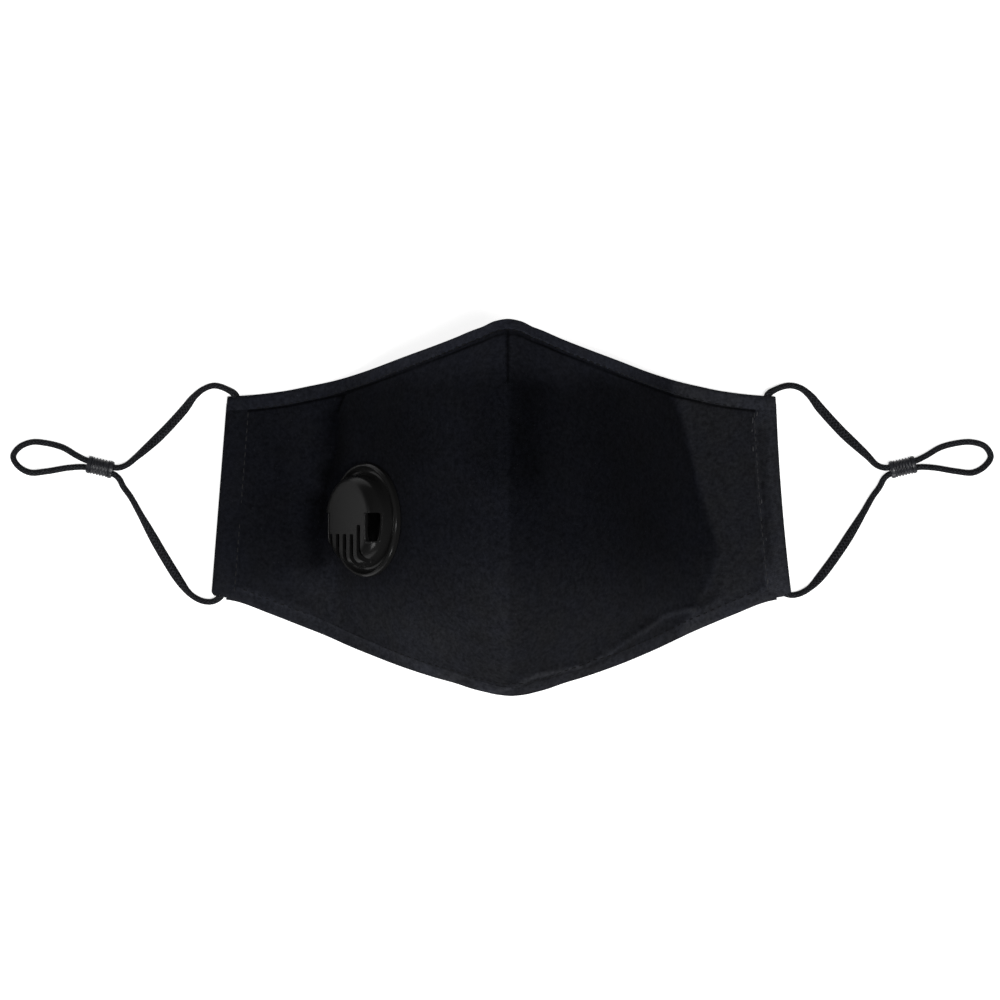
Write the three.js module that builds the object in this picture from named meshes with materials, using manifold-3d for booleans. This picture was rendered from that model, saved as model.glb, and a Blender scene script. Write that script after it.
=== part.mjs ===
// A cloth face mask with ear loops and a round exhale valve, lying with its inner side down.
// Millimetres. +Z is up, +Y is towards the nose edge and +X is to the viewer's right.
// The origin is on the surface that the mask lies on, under the middle of the mask itself.

import * as THREE from 'three';
import { mergeVertices } from 'three/addons/utils/BufferGeometryUtils.js';
import Module from 'manifold-3d';

const wasm = await Module();
wasm.setup();

// Gap between neighbouring pieces
const clearance = 0.3;

// Outline of the mask, seen from above
const maskHeight = 122.9;
const topWidth = 186.4;
const bottomWidth = 197;
const noseRise = 23.95;
const chinFall = 31.75;
const ridgeOffset = 2.1;
const chinLean = 1.3;

// Heights of the cloth over the surface
const ridgeHeight = 62;
const noseDrop = 14;
const noseShoulder = 30;
const chinDrop = 30;
const chinShoulder = 52;

// Cloth
const bodyWall = 1.5;
const bandWall = 1;
const bandWidth = 4.9;
const bandRound = 0.9;
const foldDepth = 3;
const foldWidth = 10;

// Side casings, the flat sleeves that hold the cords
const casingWidth = 7.2;
const casingThickness = 4.8;
const casingWall = 1;
const casingRound = 1.7;

// Exhale valve
const flangeRadius = 19.1;
const flangeThickness = 2.1;
const flangeRim = 1.6;
const domeRadius = 15.3;
const faceRadius = 12;
const coverHeight = 8.8;
const coverWall = 1.4;
const flangeBevel = 0.4;
const flangeGroove = 0.6;
const slotCount = 5;
const slotPitch = 4;
const slotWidth = 1.9;
const slotShift = -1.5;
const slotTop = 4.6;
const lastSlotRise = 3.1;
const slotFoot = 0.5;
const windowTop = 2.5;
const windowLength = 10;
const windowHeight = 2.7;
const windowFoot = 2;
const neckRadius = 13;
const neckWall = 1.4;
const backFlangeRadius = 17;
const backFlangeThickness = 1.5;
const lipHeight = 1;
const ledgeWidth = 1.2;
const ledgeHeight = 0.3;
const ledgeThickness = 1;
const spokeCount = 4;
const spokeWidth = 1.6;
const flapRadius = 11;
const flapThickness = 0.8;
const pegRadius = 1.1;
const pegHeadRadius = 2.2;
const pegHeadThickness = 0.8;

// Elastic cords and the sliders on them
const cordDiameter = 1.8;
const cordSteps = 72;
const sliderX = 136.2;
const sliderY = 14;
const sliderTilt = 13.4;
const sliderLength = 9.1;
const sliderWidth = 6.4;
const sliderHeight = 4.6;
const collarLength = 1.7;
const collarBevel = 0.5;
const strandGap = 0.35;
const ribCount = 5;
const ribDepth = 0.35;

// Edge heights from the middle ridge, share 0, to the side edge, share 1. The columns are
// shares of noseRise and of chinFall.
const outline = [
  { share: 0, top: 1, bottom: 1 },
  { share: 0.04, top: 0.975, bottom: 0.99 },
  { share: 0.08, top: 0.905, bottom: 0.965 },
  { share: 0.12, top: 0.85, bottom: 0.935 },
  { share: 0.18, top: 0.755, bottom: 0.875 },
  { share: 0.25, top: 0.655, bottom: 0.815 },
  { share: 0.4, top: 0.46, bottom: 0.665 },
  { share: 0.52, top: 0.315, bottom: 0.53 },
  { share: 0.62, top: 0.215, bottom: 0.4 },
  { share: 0.7, top: 0.15, bottom: 0.3 },
  { share: 0.8, top: 0.073, bottom: 0.176 },
  { share: 0.92, top: 0.018, bottom: 0.04 },
  { share: 1, top: 0, bottom: 0 },
];

// Cross-section of the left panel from the ridge to the side edge. The columns are shares of the
// ridge's height over the flat sides, of noseDrop and of chinDrop.
const section = [
  { share: 0, height: 1, nose: 1, chin: 1 },
  { share: 0.04, height: 0.979, nose: 0.96, chin: 0.97 },
  { share: 0.12, height: 0.905, nose: 0.875, chin: 0.895 },
  { share: 0.25, height: 0.748, nose: 0.66, chin: 0.7 },
  { share: 0.35, height: 0.6, nose: 0.5, chin: 0.55 },
  { share: 0.454, height: 0.356, nose: 0.33, chin: 0.36 },
  { share: 0.52, height: 0.203, nose: 0.2, chin: 0.21 },
  { share: 0.58, height: 0.084, nose: 0.08, chin: 0.09 },
  { share: 0.65, height: 0.022, nose: 0.01, chin: 0.02 },
  { share: 0.72, height: 0.01, nose: 0, chin: 0 },
  { share: 0.82, height: 0.004, nose: 0, chin: 0 },
  { share: 1, height: 0, nose: 0, chin: 0 },
];

// The right panel has the same cross-section, spread so that it ends nearer to the side edge
const rightSpread = 1.1;

// Dents along a line in the cloth. out runs from the ridge to the side edge and up from the
// chin edge to the nose edge. width and depth are shares of foldWidth and foldDepth.
const folds = [
  { name: 'nose dart, left half', side: -1, out: [0, 0], up: [1, 0.86], width: 0.16, depth: 0.14 },
  { name: 'nose dart, right half', side: 1, out: [0, 0], up: [1, 0.86], width: 0.16, depth: 0.14 },
  { name: 'pleat under the band', side: -1, out: [0.57, 0.62], up: [1, 0.74], width: 0.35, depth: 1 },
  { name: 'pleat beside the valve', side: -1, out: [0.62, 0.69], up: [0.74, 0.36], width: 0.5, depth: 0.8 },
  { name: 'right panel hollow', side: 1, out: [0.65, 0.73], up: [0.93, 0.36], width: 0.5, depth: 0.7 },
  { name: 'right panel foot', side: 1, out: [0.73, 0.68], up: [0.36, 0.12], width: 0.5, depth: 0.7 },
  { name: 'chin crease, right', side: 1, out: [0.12, 0.5], up: [0.08, 0.12], width: 0.35, depth: 0.6 },
  { name: 'chin crease, left', side: -1, out: [0.05, 0.28], up: [0.12, 0.16], width: 0.4, depth: 0.45 },
];

// Place of the valve on the left panel, and the cloth that is drawn flat under it
const valveOut = 0.469;
const valveUp = 0.47;
const seatMargin = 1;
const seatBlend = 11;

// Columns of the cloth from the ridge to each side, rows from the chin to the nose
const clothColumns = 22;
const clothRows = 18;
const columnPower = 1.3;

// Route of the left cord, from its end inside the casing, out at the top, through the slider,
// round the small loop, back through the slider and into the casing at the bottom
const cordRoute = [
  [-91.8, 10, 2.4],
  [-90.9, 22, 2.4],
  [-90.0, 31.5, 2.4],
  [-90.4, 38.4, 2.4],
  [-93.1, 40.5, 2.0],
  [-97.5, 42.1, 1.4],
  [-101.5, 41.0, 1.1],
  [-104.8, 38.1, 1.0],
  [-108.0, 34.1, 1.0],
  [-115.4, 25.9, 1.0],
  [-124.3, 18.2, 1.2],
  [-127.9, 15.0, 1.8],
  [-130.5, 13.9, 2.2],
  [-135.9, 15.2, 2.3],
  [-140.7, 16.3, 2.3],
  [-144.1, 17.9, 2.0],
  [-149.0, 20.7, 1.4],
  [-154.6, 22.5, 1.0],
  [-159.6, 22.5, 1.0],
  [-163.9, 20.6, 1.0],
  [-165.8, 17.6, 1.0],
  [-164.1, 14.4, 1.0],
  [-160.0, 12.9, 1.0],
  [-154.4, 13.0, 1.1],
  [-147.0, 14.0, 1.8],
  [-141.2, 14.0, 2.3],
  [-136.5, 12.8, 2.3],
  [-131.8, 11.7, 2.3],
  [-129.9, 10.2, 2.0],
  [-128.4, 7.4, 1.5],
  [-126.3, 3.7, 1.0],
  [-122.8, -2.4, 1.0],
  [-116.0, -14.6, 1.0],
  [-108.9, -25.6, 1.0],
  [-105.4, -29.3, 1.0],
  [-101.6, -31.4, 1.2],
  [-98.1, -31.6, 1.8],
  [-95.4, -29.9, 2.4],
  [-94.1, -26.6, 2.4],
  [-92.5, 0, 2.4],
  [-91.9, 9.2, 2.4],
];

// The right cord is the left one's mirror image, apart from these points, which lie further in
const rightCordMoves = [
  { point: 31, x: 122.1, y: -2 },
  { point: 32, x: 114.9, y: -13.6 },
  { point: 33, x: 108, y: -24 },
  { point: 34, x: 104.8, y: -28 },
  { point: 35, x: 101.6, y: -30.5 },
];

const noseY = maskHeight / 2;
const chinY = -maskHeight / 2;
const sideTopY = noseY - noseRise;
const sideBottomY = chinY + chinFall;
const flatHeight = casingThickness / 2;
const bandReach = clearance + bandWall;
const clothTop = bodyWall / 2;

const { lerp, clamp, smoothstep, degToRad } = THREE.MathUtils;

// Smooth value of a column between the rows of a table, level at the first row. The harmonic
// mean of the slopes on both sides of a row keeps the curve from overshooting.
function interpolate(rows, column, share) {
  const rise = (k) => (rows[k + 1][column] - rows[k][column]) / (rows[k + 1].share - rows[k].share);
  const slope = (k) => {
    if (k === 0) return 0;
    if (k === rows.length - 1) return rise(k - 1);
    const before = rise(k - 1);
    const after = rise(k);
    return before * after > 0 ? (2 * before * after) / (before + after) : 0;
  };
  const found = rows.findIndex((row, k) => k > 0 && share <= row.share);
  const end = found < 0 ? rows.length - 1 : found;
  const start = end - 1;
  const span = rows[end].share - rows[start].share;
  const u = clamp((share - rows[start].share) / span, 0, 1);
  const from = rows[start][column];
  const to = rows[end][column];
  const ease = u * u * (3 - 2 * u);
  const leave = slope(start) * span * u * (1 - u) ** 2;
  const arrive = slope(end) * span * u * u * (1 - u);
  return lerp(from, to, ease) + leave - arrive;
}

// Edges of the mask in plan, and how far its side edge is from the ridge
const topEdge = (out) => sideTopY + noseRise * interpolate(outline, 'top', out);
const bottomEdge = (out) => sideBottomY - chinFall * interpolate(outline, 'bottom', out);
const reach = (side, up) => lerp(bottomWidth, topWidth, up) / 2 - side * ridgeOffset;

// Plan point of the cloth: side is -1 or 1, out runs from the ridge to the side edge and up
// from the chin edge to the nose edge
function planPoint(side, out, up) {
  const lean = chinLean * ((1 - up) * (1 - out)) ** 2;
  const x = ridgeOffset + lean + side * out * reach(side, up);
  return new THREE.Vector2(x, lerp(bottomEdge(out), topEdge(out), up));
}

// Height of the middle of the cloth, before its dents
function crestHeight(side, out, up) {
  const share = side > 0 ? out / rightSpread : out;
  const span = topEdge(out) - bottomEdge(out);
  const nearNose = Math.max(0, 1 - ((1 - up) * span) / noseShoulder);
  const nearChin = Math.max(0, 1 - (up * span) / chinShoulder);
  const crest = (ridgeHeight - flatHeight) * interpolate(section, 'height', share);
  const nose = noseDrop * interpolate(section, 'nose', share) * nearNose ** 2;
  const chin = chinDrop * interpolate(section, 'chin', share) * nearChin ** 2;
  return flatHeight + crest - nose - chin;
}

// Depth of the dents at a plan point. The sewn bands hold their cloth smooth, so the dents
// fade out where they come near to one.
function dentDepth(side, point, out) {
  const edgeGap = Math.min(topEdge(out) - point.y, point.y - bottomEdge(out));
  const loose = smoothstep(edgeGap, bandWidth, 2.5 * bandWidth);
  let depth = 0;
  for (const fold of folds.filter((row) => row.side === side)) {
    const from = planPoint(side, fold.out[0], fold.up[0]);
    const along = planPoint(side, fold.out[1], fold.up[1]).sub(from);
    const share = clamp(point.clone().sub(from).dot(along) / along.lengthSq(), 0, 1);
    const away = point.distanceTo(from.addScaledVector(along, share)) / (fold.width * foldWidth);
    depth += fold.depth * foldDepth * Math.exp(-away * away);
  }
  return loose * depth;
}

// The valve's frame: u goes up the slope of the left panel, v towards the nose edge, w out
const seatSpan = (0.6 * flangeRadius) / reach(-1, valveUp);
const seatPoint = (out) => {
  const plan = planPoint(-1, out, valveUp);
  return new THREE.Vector3(plan.x, plan.y, crestHeight(-1, out, valveUp));
};
const seatCentre = seatPoint(valveOut);
const seatU = seatPoint(valveOut - seatSpan).sub(seatPoint(valveOut + seatSpan)).setY(0).normalize();
const seatV = new THREE.Vector3(0, 1, 0);
const seatW = new THREE.Vector3().crossVectors(seatU, seatV);
const seatFrame = new THREE.Matrix4().makeBasis(seatU, seatV, seatW).setPosition(seatCentre);

// Point on the middle of the cloth
function clothPoint(side, out, up) {
  const plan = planPoint(side, out, up);
  const dented = Math.max(flatHeight, crestHeight(side, out, up) - dentDepth(side, plan, out));
  if (side > 0) return new THREE.Vector3(plan.x, plan.y, dented);
  const across = (plan.x - seatCentre.x) / seatU.x;
  const away = Math.hypot(across, plan.y - seatCentre.y);
  const flat = flangeRadius + seatMargin;
  const free = smoothstep(away, flat, flat + seatBlend);
  return new THREE.Vector3(plan.x, plan.y, lerp(seatCentre.z + across * seatU.z, dented, free));
}

// Outward normal of the cloth
function clothNormal(side, out, up) {
  const step = 0.01;
  const inward = out < step ? clothPoint(-side, step, up) : clothPoint(side, out - step, up);
  const outward = clothPoint(side, Math.min(out + step, 1), up);
  const lower = clothPoint(side, out, Math.max(up - step, 0));
  const upper = clothPoint(side, out, Math.min(up + step, 1));
  const normal = outward.sub(inward).cross(upper.sub(lower)).normalize();
  return normal.z < 0 ? normal.negate() : normal;
}

const offCloth = (side, out, up, lift) => {
  return clothPoint(side, out, up).addScaledVector(clothNormal(side, out, up), lift);
};

// A closed solid from points and triangles, turned so that its faces point out
function solid(points, triangles) {
  let volume = 0;
  for (const [a, b, c] of triangles) {
    volume += points[a].dot(new THREE.Vector3().crossVectors(points[b], points[c]));
  }
  const turned = volume < 0 ? triangles.map(([a, b, c]) => [a, c, b]) : triangles;
  const geometry = new THREE.BufferGeometry().setFromPoints(points);
  geometry.setIndex(turned.flat());
  geometry.computeVertexNormals();
  return geometry;
}

// Joins two rows of point numbers with triangles
function bridge(first, second, closed) {
  const triangles = [];
  const count = closed ? first.length : first.length - 1;
  for (let k = 0; k < count; k += 1) {
    const next = (k + 1) % first.length;
    triangles.push([first[k], first[next], second[next]], [first[k], second[next], second[k]]);
  }
  return triangles;
}

// Sweeps a flat section, which may have holes, through the stations. place(station, point)
// gives the place of a point of the section at a station.
function sweptSolid(stations, place, contour, holes = []) {
  const loops = [contour, ...holes];
  const flat = loops.flat();
  const points = stations.flatMap((station) => flat.map((point) => place(station, point)));
  const ends = THREE.ShapeUtils.triangulateShape(contour, holes);
  const last = (stations.length - 1) * flat.length;
  const triangles = ends.map(([a, b, c]) => [a, c, b]);
  triangles.push(...ends.map((face) => face.map((k) => k + last)));
  for (let station = 0; station < stations.length - 1; station += 1) {
    let start = station * flat.length;
    for (const loop of loops) {
      const first = loop.map((point, k) => start + k);
      triangles.push(...bridge(first, first.map((k) => k + flat.length), true));
      start += loop.length;
    }
  }
  return solid(points, triangles);
}

// Section loops run counterclockwise, and the loops of holes clockwise
const roundedBox = (width, height, radius, clockwise = false) => {
  const corners = [[1, -1], [1, 1], [-1, 1], [-1, -1]];
  const points = corners.flatMap(([x, y], corner) => [0, 1, 2].map((step) => {
    const angle = (corner - 1 + step / 2) * (Math.PI / 2);
    return new THREE.Vector2(
      x * (width / 2 - radius) + radius * Math.cos(angle),
      y * (height / 2 - radius) + radius * Math.sin(angle),
    );
  }));
  return clockwise ? points.reverse() : points;
};

// Columns of the cloth from the left casing over the ridge to the right one. Each is a side
// and a share of the way to the casing, closer together near the ridge.
const columns = [];
for (let k = -clothColumns; k <= clothColumns; k += 1) {
  columns.push({ side: k < 0 ? -1 : 1, share: (Math.abs(k) / clothColumns) ** columnPower });
}

// How far out the cloth and its bands go before the casing starts, and where the cloth ends
// inside the folded bands
const outAt = (column, up) => {
  return column.share * (1 - (casingWidth + clearance) / reach(column.side, up));
};
const upAt = (column, row) => {
  const out = outAt(column, row);
  const inset = bandReach / (topEdge(out) - bottomEdge(out));
  return lerp(inset, 1 - inset, row);
};

function maskBody() {
  const points = [];
  const rows = Array.from({ length: clothRows + 1 }, (unused, k) => k / clothRows);
  for (const lift of [clothTop, -clothTop]) {
    for (const row of rows) {
      for (const column of columns) {
        const up = upAt(column, row);
        points.push(offCloth(column.side, outAt(column, up), up, lift));
      }
    }
  }
  const layer = rows.length * columns.length;
  const number = (side, row, column) => side * layer + row * columns.length + column;
  const rowNumbers = (side, row) => columns.map((unused, k) => number(side, row, k));
  const triangles = [];
  for (let row = 0; row < clothRows; row += 1) {
    triangles.push(...bridge(rowNumbers(0, row), rowNumbers(0, row + 1), false));
    triangles.push(...bridge(rowNumbers(1, row + 1), rowNumbers(1, row), false));
  }
  const lastColumn = columns.length - 1;
  const rim = [
    ...columns.map((unused, k) => [0, k]),
    ...rows.slice(1).map((unused, k) => [k + 1, lastColumn]),
    ...columns.slice(0, -1).map((unused, k) => [clothRows, lastColumn - 1 - k]),
    ...rows.slice(1, -1).map((unused, k) => [clothRows - 1 - k, 0]),
  ];
  const rimNumbers = (side) => rim.map(([row, column]) => number(side, row, column));
  triangles.push(...bridge(rimNumbers(1), rimNumbers(0), true));
  const holeRadius = neckRadius + clearance;
  const hole = new THREE.CylinderGeometry(holeRadius, holeRadius, 8 * bodyWall, 32);
  return cut(solid(points, triangles), [inSeat(hole)]);
}

// A band folded over an edge of the cloth: up is 1 at the nose edge and 0 at the chin edge
function binding(edge) {
  const outer = clothTop + clearance + bandWall;
  const inner = clothTop + clearance;
  const skirt = bandWidth - bandReach;
  const contour = [
    [-skirt, -outer], [bandReach - bandRound, -outer], [bandReach, bandRound - outer],
    [bandReach, outer - bandRound], [bandReach - bandRound, outer], [-skirt, outer],
    [-skirt, inner], [clearance, inner], [clearance, -inner], [-skirt, -inner],
  ].map(([away, lift]) => new THREE.Vector2(away, lift));
  const place = (column, point) => {
    const up = upAt(column, edge);
    const out = outAt(column, up);
    const origin = clothPoint(column.side, out, up);
    const normal = clothNormal(column.side, out, up);
    const nextRow = upAt(column, Math.abs(edge - 1 / clothRows));
    const inside = clothPoint(column.side, outAt(column, nextRow), nextRow);
    const away = origin.clone().sub(inside);
    away.addScaledVector(normal, -away.dot(normal)).normalize();
    return origin.addScaledVector(away, point.x).addScaledVector(normal, point.y);
  };
  return sweptSolid(columns, place, contour);
}

// Sleeve along a side edge, flat on the surface
function sideCasing(side) {
  const wall = 2 * casingWall;
  const outerLoop = roundedBox(casingWidth, casingThickness, casingRound);
  const tunnelRound = casingRound - casingWall / 2;
  const tunnel = roundedBox(casingWidth - wall, casingThickness - wall, tunnelRound, true);
  const place = (up, point) => {
    const inset = casingWidth / 2 - point.x;
    const plan = planPoint(side, 1 - inset / reach(side, up), up);
    return new THREE.Vector3(plan.x, plan.y, casingThickness / 2 + point.y);
  };
  return sweptSolid([0, 1], place, outerLoop, [tunnel]);
}

// Manifold-3d solids and back
function toManifold(geometry) {
  const bare = geometry.clone();
  bare.deleteAttribute('normal');
  bare.deleteAttribute('uv');
  const merged = mergeVertices(bare);
  const vertProperties = new Float32Array(merged.attributes.position.array);
  const triVerts = new Uint32Array(merged.index.array);
  return new wasm.Manifold(new wasm.Mesh({ numProp: 3, vertProperties, triVerts }));
}

function fromManifold(manifold) {
  const mesh = manifold.getMesh();
  const geometry = new THREE.BufferGeometry();
  geometry.setAttribute('position', new THREE.BufferAttribute(mesh.vertProperties, 3));
  geometry.setIndex(new THREE.BufferAttribute(mesh.triVerts, 1));
  geometry.computeVertexNormals();
  return geometry;
}

function cut(geometry, tools) {
  return fromManifold(tools.reduce((rest, tool) => rest.subtract(toManifold(tool)), toManifold(geometry)));
}

function join(geometries) {
  return fromManifold(geometries.map(toManifold).reduce((all, next) => all.add(next)));
}

// Turns a shape made round the Y axis so that it stands on the valve's seat
function inSeat(geometry) {
  return geometry.rotateX(Math.PI / 2).applyMatrix4(seatFrame);
}

// A turned ring from a profile of [radius, height] pairs that closes on itself
function turned(profile, segments = 28) {
  const closed = [...profile, profile[0]].map(([radius, height]) => new THREE.Vector2(radius, height));
  const lathe = new THREE.LatheGeometry(closed, segments);
  lathe.deleteAttribute('uv');
  lathe.deleteAttribute('normal');
  const merged = mergeVertices(lathe);
  const points = [];
  for (let k = 0; k < merged.attributes.position.count; k += 1) {
    points.push(new THREE.Vector3().fromBufferAttribute(merged.attributes.position, k));
  }
  const index = merged.index.array;
  const triangles = [];
  for (let k = 0; k < index.length; k += 3) {
    const face = [index[k], index[k + 1], index[k + 2]];
    if (new Set(face).size === 3) triangles.push(face);
  }
  return solid(points, triangles);
}

// A box with its middle at a place in the valve's frame
const seatBox = (u, v, w, middle) => {
  return new THREE.BoxGeometry(u, v, w).translate(...middle).applyMatrix4(seatFrame);
};

function valveCover() {
  const base = clothTop + clearance;
  const shoulder = base + flangeThickness;
  const groove = shoulder - flangeGroove;
  const rimInside = flangeRadius - flangeRim;
  const inside = domeRadius - coverWall;
  const faceInside = faceRadius - coverWall / 3;
  const ceiling = coverHeight - coverWall;
  const cover = turned([
    [flangeRadius, base], [flangeRadius, shoulder - flangeBevel], [flangeRadius - flangeBevel, shoulder],
    [rimInside, shoulder], [rimInside - flangeBevel, groove], [domeRadius, groove], [domeRadius, shoulder],
    [lerp(domeRadius, faceRadius, 0.3), lerp(shoulder, coverHeight, 0.55)],
    [lerp(domeRadius, faceRadius, 0.7), lerp(shoulder, coverHeight, 0.9)],
    [faceRadius, coverHeight], [0, coverHeight], [0, ceiling], [faceInside, ceiling],
    [lerp(inside, faceInside, 0.35), lerp(shoulder, ceiling, 0.55)],
    [inside, shoulder], [inside, base],
  ]);
  const slotHeight = 2 * coverHeight;
  const slotLength = 2 * domeRadius;
  const cuts = [];
  for (let k = 0; k < slotCount; k += 1) {
    const across = slotShift + (k - (slotCount - 1) / 2) * slotPitch;
    const top = k === slotCount - 1 ? lastSlotRise - slotTop : -slotTop;
    const middle = [across, top - slotLength / 2, shoulder + slotFoot + slotHeight / 2];
    cuts.push(seatBox(slotWidth, slotLength, slotHeight, middle));
  }
  for (const side of [-1, 1]) {
    const height = shoulder + windowFoot + windowHeight / 2;
    const middle = [side * domeRadius, windowTop - windowLength / 2, height];
    cuts.push(seatBox(2 * (domeRadius - faceRadius), windowLength, windowHeight, middle));
  }
  return cut(inSeat(cover), cuts);
}

function valveSeat() {
  const under = -clothTop - clearance;
  const back = under - backFlangeThickness;
  const over = clothTop + clearance;
  const lip = domeRadius - coverWall - clearance;
  const bore = neckRadius - neckWall;
  const ledge = bore - ledgeWidth;
  const ledgeFoot = ledgeHeight - ledgeThickness;
  const ring = inSeat(turned([
    [bore, back], [backFlangeRadius, back], [backFlangeRadius, under], [neckRadius, under],
    [neckRadius, over], [lip, over], [lip, over + lipHeight], [bore, over + lipHeight],
    [bore, ledgeHeight], [ledge, ledgeHeight], [ledge, ledgeFoot], [bore, ledgeFoot],
  ]));
  const parts = [ring];
  for (let k = 0; k < spokeCount; k += 1) {
    const spoke = new THREE.BoxGeometry(bore, spokeWidth, ledgeThickness);
    spoke.translate(bore / 2, 0, ledgeHeight - ledgeThickness / 2);
    parts.push(spoke.rotateZ((Math.PI * 2 * k) / spokeCount).applyMatrix4(seatFrame));
  }
  const head = ledgeHeight + flapThickness + 2 * clearance;
  parts.push(inSeat(turned([
    [0, ledgeFoot], [spokeWidth, ledgeFoot], [spokeWidth, ledgeHeight], [pegRadius, ledgeHeight],
    [pegRadius, head], [pegHeadRadius, head], [pegHeadRadius, head + pegHeadThickness],
    [0, head + pegHeadThickness],
  ], 16)));
  return join(parts);
}

function valveFlap() {
  const base = ledgeHeight + clearance;
  const hole = pegRadius + clearance;
  return inSeat(turned([
    [hole, base], [flapRadius, base], [flapRadius, base + flapThickness], [hole, base + flapThickness],
  ], 24));
}

function earCord(side) {
  const route = cordRoute.map(([x, y, z]) => new THREE.Vector3(-side * x, y, z));
  if (side > 0) rightCordMoves.forEach((move) => route[move.point].set(move.x, move.y, route[move.point].z));
  const extrudePath = new THREE.CatmullRomCurve3(route, false, 'centripetal');
  const round = new THREE.Shape();
  const sides = 8;
  for (let k = 0; k < sides; k += 1) {
    const angle = ((k + 0.5) * 2 * Math.PI) / sides;
    const point = [(cordDiameter / 2) * Math.cos(angle), (cordDiameter / 2) * Math.sin(angle)];
    if (k === 0) round.moveTo(...point);
    else round.lineTo(...point);
  }
  return new THREE.ExtrudeGeometry(round, { steps: cordSteps, extrudePath, bevelEnabled: false });
}

// A ribbed oval slider with one oval hole for two strands side by side, made round the Y axis
// with a diameter of 1 and then stretched to its width and height
function cordSlider() {
  const half = sliderLength / 2;
  const round = 0.5;
  const groove = round - ribDepth / sliderWidth;
  const end = round - collarBevel / sliderWidth;
  const profile = [[0, -half], [end, -half], [round, collarBevel - half], [round, collarLength - half]];
  const pitch = (sliderLength - 2 * collarLength) / (ribCount + 0.4);
  for (let k = 0; k < ribCount; k += 1) {
    const start = collarLength - half + pitch * k;
    profile.push([groove, start + 0.1 * pitch], [groove, start + 0.4 * pitch]);
    profile.push([round, start + 0.6 * pitch], [round, start + pitch]);
  }
  profile.push([groove, half - collarLength - 0.3 * pitch], [groove, half - collarLength - 0.1 * pitch]);
  profile.push([round, half - collarLength], [round, half - collarBevel], [end, half], [0, half]);
  const outer = turned(profile, 12).scale(sliderWidth, 1, sliderHeight);
  const hole = new THREE.CylinderGeometry(round, round, 2 * sliderLength, 12, 1);
  hole.scale(2 * cordDiameter + 4 * strandGap, 1, cordDiameter + 2 * strandGap);
  return cut(outer, [hole]);
}

const tones = {
  cloth: { color: 0x17181b, roughness: 0.95 },
  elastic: { color: 0x1d1d20, roughness: 0.85 },
  rubber: { color: 0x343437, roughness: 0.6 },
  plastic: { color: 0x101012, roughness: 0.25 },
};

const mask = new THREE.Group();

function addPiece(name, geometry, tone) {
  const piece = new THREE.Mesh(geometry, new THREE.MeshStandardMaterial({ ...tones[tone], metalness: 0 }));
  piece.name = name;
  mask.add(piece);
  return piece;
}

addPiece('mask_body', maskBody(), 'cloth');
addPiece('top_binding', binding(1), 'cloth');
addPiece('bottom_binding', binding(0), 'cloth');
addPiece('valve_cover', valveCover(), 'plastic');
addPiece('valve_seat', valveSeat(), 'plastic');
addPiece('valve_flap', valveFlap(), 'rubber');
for (const [label, side] of [['left', -1], ['right', 1]]) {
  addPiece(`side_casing_${label}`, sideCasing(side), 'cloth');
  addPiece(`ear_cord_${label}`, earCord(side), 'elastic');
  const slider = addPiece(`cord_slider_${label}`, cordSlider(), 'rubber');
  slider.position.set(side * sliderX, sliderY, sliderHeight / 2);
  slider.rotation.z = Math.PI / 2 + side * degToRad(sliderTilt);
}

export default mask;
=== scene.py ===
# %% [markdown]
# A black cloth face mask, as it lies on a table with its hollow side down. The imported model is
# loaded first and stays where it is. Each piece that shows is then made again with its real
# surface, and takes the place of its plain solid.

import math

import bpy
import numpy as np
from mathutils import Matrix, Vector


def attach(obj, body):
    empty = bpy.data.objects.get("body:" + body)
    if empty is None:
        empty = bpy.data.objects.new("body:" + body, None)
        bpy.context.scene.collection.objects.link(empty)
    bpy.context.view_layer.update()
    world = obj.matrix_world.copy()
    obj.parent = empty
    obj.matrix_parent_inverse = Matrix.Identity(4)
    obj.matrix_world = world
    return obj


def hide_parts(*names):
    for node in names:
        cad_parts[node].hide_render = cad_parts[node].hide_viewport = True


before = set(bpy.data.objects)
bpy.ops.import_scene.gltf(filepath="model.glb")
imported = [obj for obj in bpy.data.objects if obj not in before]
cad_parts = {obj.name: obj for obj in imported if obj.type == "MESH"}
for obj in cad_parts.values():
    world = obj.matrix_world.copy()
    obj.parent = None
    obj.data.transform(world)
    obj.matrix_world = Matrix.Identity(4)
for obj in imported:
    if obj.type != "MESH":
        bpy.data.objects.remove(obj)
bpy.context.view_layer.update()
MM = 0.001

# %% [markdown]
# The camera looks straight down, as in the photograph. At the height of the table the picture
# is 340 mm wide, and the camera stands 1.2 m up, so the raised ridge looks a little larger
# than the flat sides. The lens follows from these two sizes.

# %% Camera
PICTURE_WIDTH = 340 * MM
CAMERA_HEIGHT = 1200 * MM
CAMERA_MIDDLE = (-0.51 * MM, 2.86 * MM)
SENSOR = 36

bpy.ops.object.camera_add(location=(*CAMERA_MIDDLE, CAMERA_HEIGHT), rotation=(0, 0, 0))
camera = bpy.context.object
camera.data.sensor_width = SENSOR
camera.data.lens = SENSOR * CAMERA_HEIGHT / PICTURE_WIDTH
camera.data.clip_start = 0.01
camera.data.clip_end = 20
bpy.context.scene.camera = camera
bpy.context.scene.view_settings.view_transform = "Standard"
print("lens", round(camera.data.lens, 2), "mm")

# %% [markdown]
# A studio picture on pure white has a bright surface of its own and large lamps. Here the table
# glows a little, so that it stays white where the mask shades it, but it lights nothing. Most
# of the light comes from above, so that the flat sides are lighter than the steep panels. The
# lamp at the left leaves the right side of the ridge in the shade.

# %% Table and lamps
bpy.ops.mesh.primitive_plane_add(size=6, location=(0, 0, 0))
table = bpy.context.object
table.name = "table"
table.visible_diffuse = False

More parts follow.
